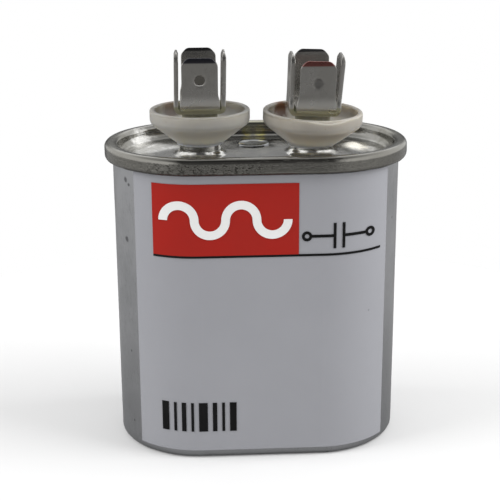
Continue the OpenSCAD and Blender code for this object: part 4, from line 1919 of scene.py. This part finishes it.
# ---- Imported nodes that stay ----


@dataclass(frozen=True)
class KeptNodes:
    """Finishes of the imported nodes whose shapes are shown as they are."""

    def finishes(self) -> dict[str, Paint]:
        """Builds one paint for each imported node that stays.

        Returns:
            Paint by node name.
        """
        tin = TinPlate("rivet_tin", (0.44, 0.435, 0.40), (0.3, 0.29, 0.25), stretch=EVEN, rough=0.25,
                       scratch=0.3, relief_mm=0.03).make()
        wire = TinPlate("lead_tin", (0.5, 0.49, 0.46), (0.4, 0.38, 0.34), stretch=EVEN, rough=0.25,
                        scratch=0.2, relief_mm=0.02).make()
        rubber = PlainStock("gasket_rubber", (0.035, 0.034, 0.032), (0.06, 0.058, 0.055), 0.65).make()
        bush = PlainStock("bush_moulding", (0.58, 0.55, 0.44), (0.5, 0.47, 0.37), 0.5).make()
        board = PlainStock("fibre_board", (0.30, 0.18, 0.085), (0.22, 0.125, 0.055), 0.7, scale=1400.0).make()
        film = PlainStock("wound_film", (0.58, 0.60, 0.62), (0.48, 0.50, 0.53), 0.22, metallic=1.0,
                          scale=500.0, stretch=(1.0, 1.0, 0.05), relief_mm=0.05).make()
        tray = PlainStock("tray_moulding", (0.75, 0.72, 0.62), (0.66, 0.63, 0.54), 0.5).make()
        zinc = PlainStock("sprayed_zinc", (0.32, 0.33, 0.35), (0.2, 0.205, 0.215), 0.6, metallic=1.0,
                          scale=2600.0, relief_mm=0.12).make()
        paper = PlainStock("wrap_paper", (0.56, 0.44, 0.27), (0.48, 0.36, 0.21), 0.8, scale=2000.0).make()
        black = Ink("black_ink", (0.004, 0.004, 0.004), (0.01, 0.01, 0.0105)).make()
        red = Ink("red_ink", (0.325, 0.013, 0.008), (0.29, 0.015, 0.01)).make()
        white = Ink("white_ink", (0.74, 0.74, 0.73), (0.66, 0.66, 0.66)).make()
        paints = {"interrupter_plate": board, "film_winding": film, "winding_core": tray,
                  "bottom_insulator": tray, "top_end_spray": zinc, "bottom_end_spray": zinc,
                  "insulating_wrap": paper, "label": LabelFilm().make(), "black_rule": black,
                  "black_bars": black, "circuit_sign": black, "red_field": red, "white_wave": white}
        for side in Side:
            paints[f"{side.word}_rivet"] = tin
            paints[f"{side.word}_solder_lug"] = tin
            paints[f"{side.word}_lead"] = wire
            paints[f"{side.word}_gasket"] = rubber
            paints[f"{side.word}_bush"] = bush
        return paints

    def dress(self) -> None:
        """Gives each kept node its finish."""
        for node, paint in self.finishes().items():
            dress(frame["nodes"][node], paint)
            log.info("%s: packed node kept, finish %s", node, paint.material.name)


# ---- Studio ----


@dataclass(frozen=True)
class SoftBox:
    """A square area lamp that faces the part.

    Attributes:
        name: the lamp's name.
        place: its position in metres.
        size: its side in metres.
        glow: its radiance.
    """

    name: str
    place: Triple
    size: float
    glow: float

    def build(self, target: Vector) -> None:
        """Adds the lamp.

        Args:
            target: the point that it faces.
        """
        lamp = bpy.data.lights.new(self.name, "AREA")
        lamp.size = self.size
        lamp.energy = self.glow * math.pi * self.size ** 2
        holder = bpy.data.objects.new(self.name, lamp)
        holder.location = self.place
        holder.rotation_euler = (target - Vector(self.place)).to_track_quat("-Z", "Y").to_euler()
        holder.visible_glossy = False
        bpy.context.scene.collection.objects.link(holder)


@dataclass(frozen=True)
class Ramp:
    """A smooth change from one value to another.

    Attributes:
        low: where it starts.
        high: where it ends.
        at_low: value up to the start.
        at_high: value past the end.
    """

    low: float
    high: float
    at_low: float = 0.0
    at_high: float = 1.0

    def draw(self, sheet: NodeSheet, value: object) -> bpy.types.NodeSocket:
        """Draws the ramp of a value in a node sheet."""
        return sheet.remap(value, self.low, self.high, self.at_low, self.at_high)


@dataclass
class Studio:
    """Pale round table, white surround, soft lamps and the camera.

    Attributes:
        table_r: radius of the table top.
        pale: colour of the table top.
        ambient: brightness of the surround on matt surfaces.
        lift: white added to the table for the rays that look at it.
        mirrored: share of the table's brightness that metal shows.
        front_low: brightness that metal sees in front, by the upward part of a direction.
        front_high: share of it that is left higher up.
        back_low: brightness behind, up to the bright panel.
        back_high: brightness that the panel behind adds.
        side: brightness at both sides, by the upward part.
        overhead: share that is left overhead.
        behind: share of the back, by the backward part of a direction.
        flank: share of the sides, by the sideways part.
        boxes: the lamps.
        lens_mm: focal length on a 36 mm wide frame.
        distance: distance of the camera from the point it is aimed at.
        pitch_deg: angle by which it looks down.
        yaw_deg: angle by which it stands to the right.
        roll_deg: roll about its axis.
        aim_share: height of the aimed point as a share of the part's height.
        slide: shift of the camera to its right and upwards, in metres.
    """

    table_r: float = 0.11
    pale: float = 0.66
    ambient: float = 0.80
    lift: float = 0.05
    mirrored: float = 0.42
    front_low: Ramp = Ramp(-0.05, -0.55, 0.24, 0.32)
    front_high: Ramp = Ramp(0.0, 0.14, 1.0, 0.4)
    back_low: Ramp = Ramp(0.1, 0.25, 0.14, 0.34)
    back_high: Ramp = Ramp(0.31, 0.43, 0.0, 1.0)
    side: Ramp = Ramp(-0.14, 0.06, 0.46, 1.15)
    overhead: Ramp = Ramp(0.6, 0.9, 1.0, 0.5)
    behind: Ramp = Ramp(-0.2, 0.2)
    flank: Ramp = Ramp(0.28, 0.56)
    boxes: tuple[SoftBox, ...] = (SoftBox("left_softbox", (-0.46, -0.08, 0.38), 0.34, 5.6),
                                  SoftBox("right_softbox", (0.46, -0.10, 0.40), 0.40, 6.2))
    lens_mm: float = 89.42
    distance: float = 233.09 * MM
    pitch_deg: float = 17.62
    yaw_deg: float = -3.106
    roll_deg: float = -0.313
    aim_share: float = 0.41638
    slide: tuple[float, float] = (-1.207 * MM, 4.605 * MM)

    def reflections(self, sheet: NodeSheet) -> bpy.types.NodeSocket:
        """Draws the studio that metal sees: pale at both sides and high behind, dimmer elsewhere.

        Args:
            sheet: the world's node sheet.

        Returns:
            The brightness by direction.
        """
        way = sheet.add("ShaderNodeSeparateXYZ")
        sheet.feed(way.inputs[0], sheet.add("ShaderNodeTexCoord").outputs["Generated"])
        x, y, z = way.outputs
        front = sheet.math("MULTIPLY", self.front_low.draw(sheet, z), self.front_high.draw(sheet, z))
        back = sheet.math("ADD", self.back_low.draw(sheet, z), self.back_high.draw(sheet, z))
        centre = sheet.fade(self.behind.draw(sheet, y), front, back)
        flank = self.flank.draw(sheet, sheet.math("ABSOLUTE", x))
        level = sheet.fade(flank, centre, self.side.draw(sheet, z))
        return sheet.math("MULTIPLY", level, self.overhead.draw(sheet, z))

    def surround(self) -> None:
        """Makes the world: white where it is looked at, the studio for metal, and even for matt surfaces."""
        world = bpy.data.worlds.new("surround")
        world.use_nodes = True
        bpy.context.scene.world = world
        world.node_tree.nodes.clear()
        sheet = NodeSheet(world.node_tree)
        rays = sheet.add("ShaderNodeLightPath").outputs
        mirrored = sheet.math("MAXIMUM", rays["Is Glossy Ray"], rays["Is Transmission Ray"])
        around = sheet.fade(mirrored, self.ambient, self.reflections(sheet))
        seen = sheet.fade(rays["Is Camera Ray"], around, 1.0)
        sky = sheet.add("ShaderNodeBackground")
        sky.inputs["Color"].default_value = (1.0, 1.0, 1.0, 1.0)
        sheet.feed(sky.inputs["Strength"], seen)
        sheet.feed(sheet.add("ShaderNodeOutputWorld").inputs[0], sky.outputs[0])

    def table(self) -> None:
        """Makes the pale table top, which keeps the part's shadow."""
        bm = bmesh.new()
        bmesh.ops.create_circle(bm, cap_ends=True, radius=self.table_r, segments=128)
        mesh = bpy.data.meshes.new("table_top")
        bm.to_mesh(mesh)
        bm.free()
        top = bpy.data.objects.new("table_top", mesh)
        top.location.z = -0.02 * MM
        bpy.context.scene.collection.objects.link(top)
        material = bpy.data.materials.new("pale_board")
        material.use_nodes = True
        tree = material.node_tree
        tree.nodes.clear()
        sheet = NodeSheet(tree)
        board = sheet.add("ShaderNodeBsdfDiffuse")
        rays = sheet.add("ShaderNodeLightPath").outputs
        colour = sheet.fade(rays["Is Glossy Ray"], self.pale, self.pale * self.mirrored)
        sheet.feed(board.inputs["Color"], colour)
        looked = sheet.math("MAXIMUM", rays["Is Camera Ray"], rays["Is Transmission Ray"])
        glow = sheet.add("ShaderNodeEmission")
        sheet.feed(glow.inputs["Strength"], sheet.math("MULTIPLY", looked, self.lift))
        both = sheet.add("ShaderNodeAddShader")
        sheet.feed(both.inputs[0], board.outputs[0])
        sheet.feed(both.inputs[1], glow.outputs[0])
        sheet.feed(sheet.add("ShaderNodeOutputMaterial").inputs[0], both.outputs[0])
        mesh.materials.append(material)

    def camera(self, height: float) -> None:
        """Places the camera.

        Args:
            height: the part's height.
        """
        pitch, yaw, roll = (math.radians(a) for a in (self.pitch_deg, self.yaw_deg, self.roll_deg))
        back = Vector((math.sin(yaw) * math.cos(pitch), -math.cos(yaw) * math.cos(pitch), math.sin(pitch)))
        right = Vector((0, 0, 1)).cross(back).normalized()
        up = back.cross(right)
        right, up = (math.cos(roll) * right + math.sin(roll) * up,
                     math.cos(roll) * up - math.sin(roll) * right)
        place = Vector((0, 0, self.aim_share * height)) + back * self.distance
        place += right * self.slide[0] + up * self.slide[1]
        data = bpy.data.cameras.new("camera")
        data.lens = self.lens_mm
        data.sensor_width = 36.0
        data.clip_start = 0.01
        holder = bpy.data.objects.new("camera", data)
        holder.matrix_world = Matrix.Translation(place) @ Matrix((right, up, back)).transposed().to_4x4()
        bpy.context.scene.collection.objects.link(holder)
        bpy.context.scene.camera = holder

    def build(self) -> None:
        """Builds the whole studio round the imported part."""
        low, high = cad_box
        self.surround()
        self.table()
        for box in self.boxes:
            box.build(Vector((0, 0, high[2] * 0.6)))
        self.camera(high[2] - low[2])
        bpy.context.scene.view_settings.view_transform = "Standard"


def main() -> None:
    """Builds and dresses every piece, then the studio."""
    case = Case()
    lid = Lid(case)
    piece = lid.build()
    lid.dress(piece)
    enter(piece, Slot.TINPLATE, "lid")
    piece = Can(case).build()
    dress(piece, DrawnAluminium().make())
    enter(piece, Slot.CAN, "can")
    seal = SolderSeal(case)
    piece = seal.build()
    seal.dress(piece)
    enter(piece, Slot.SOLDER, "vent_seal")
    for side, pinch in ((Side.LEFT, None), (Side.RIGHT, -76.0)):
        cup = Cup(case, side, pinch_deg=pinch)
        piece = cup.build()
        cup.dress(piece)
        enter(piece, Slot.CUP, f"{side.word}_cup")
    for side, pierced, splay in ((Side.LEFT, True, (-1.0, 1.2)), (Side.RIGHT, False, (0.0, 3.0))):
        terminal = Terminal(case, side, pierced, splay)
        for piece, node in terminal.build():
            terminal.dress(piece)
            enter(piece, Slot.TABS, node)
    KeptNodes().dress()
    Studio().build()


if __name__ == "__main__":
    logging.basicConfig(level=logging.INFO, format="%(message)s")
    main()
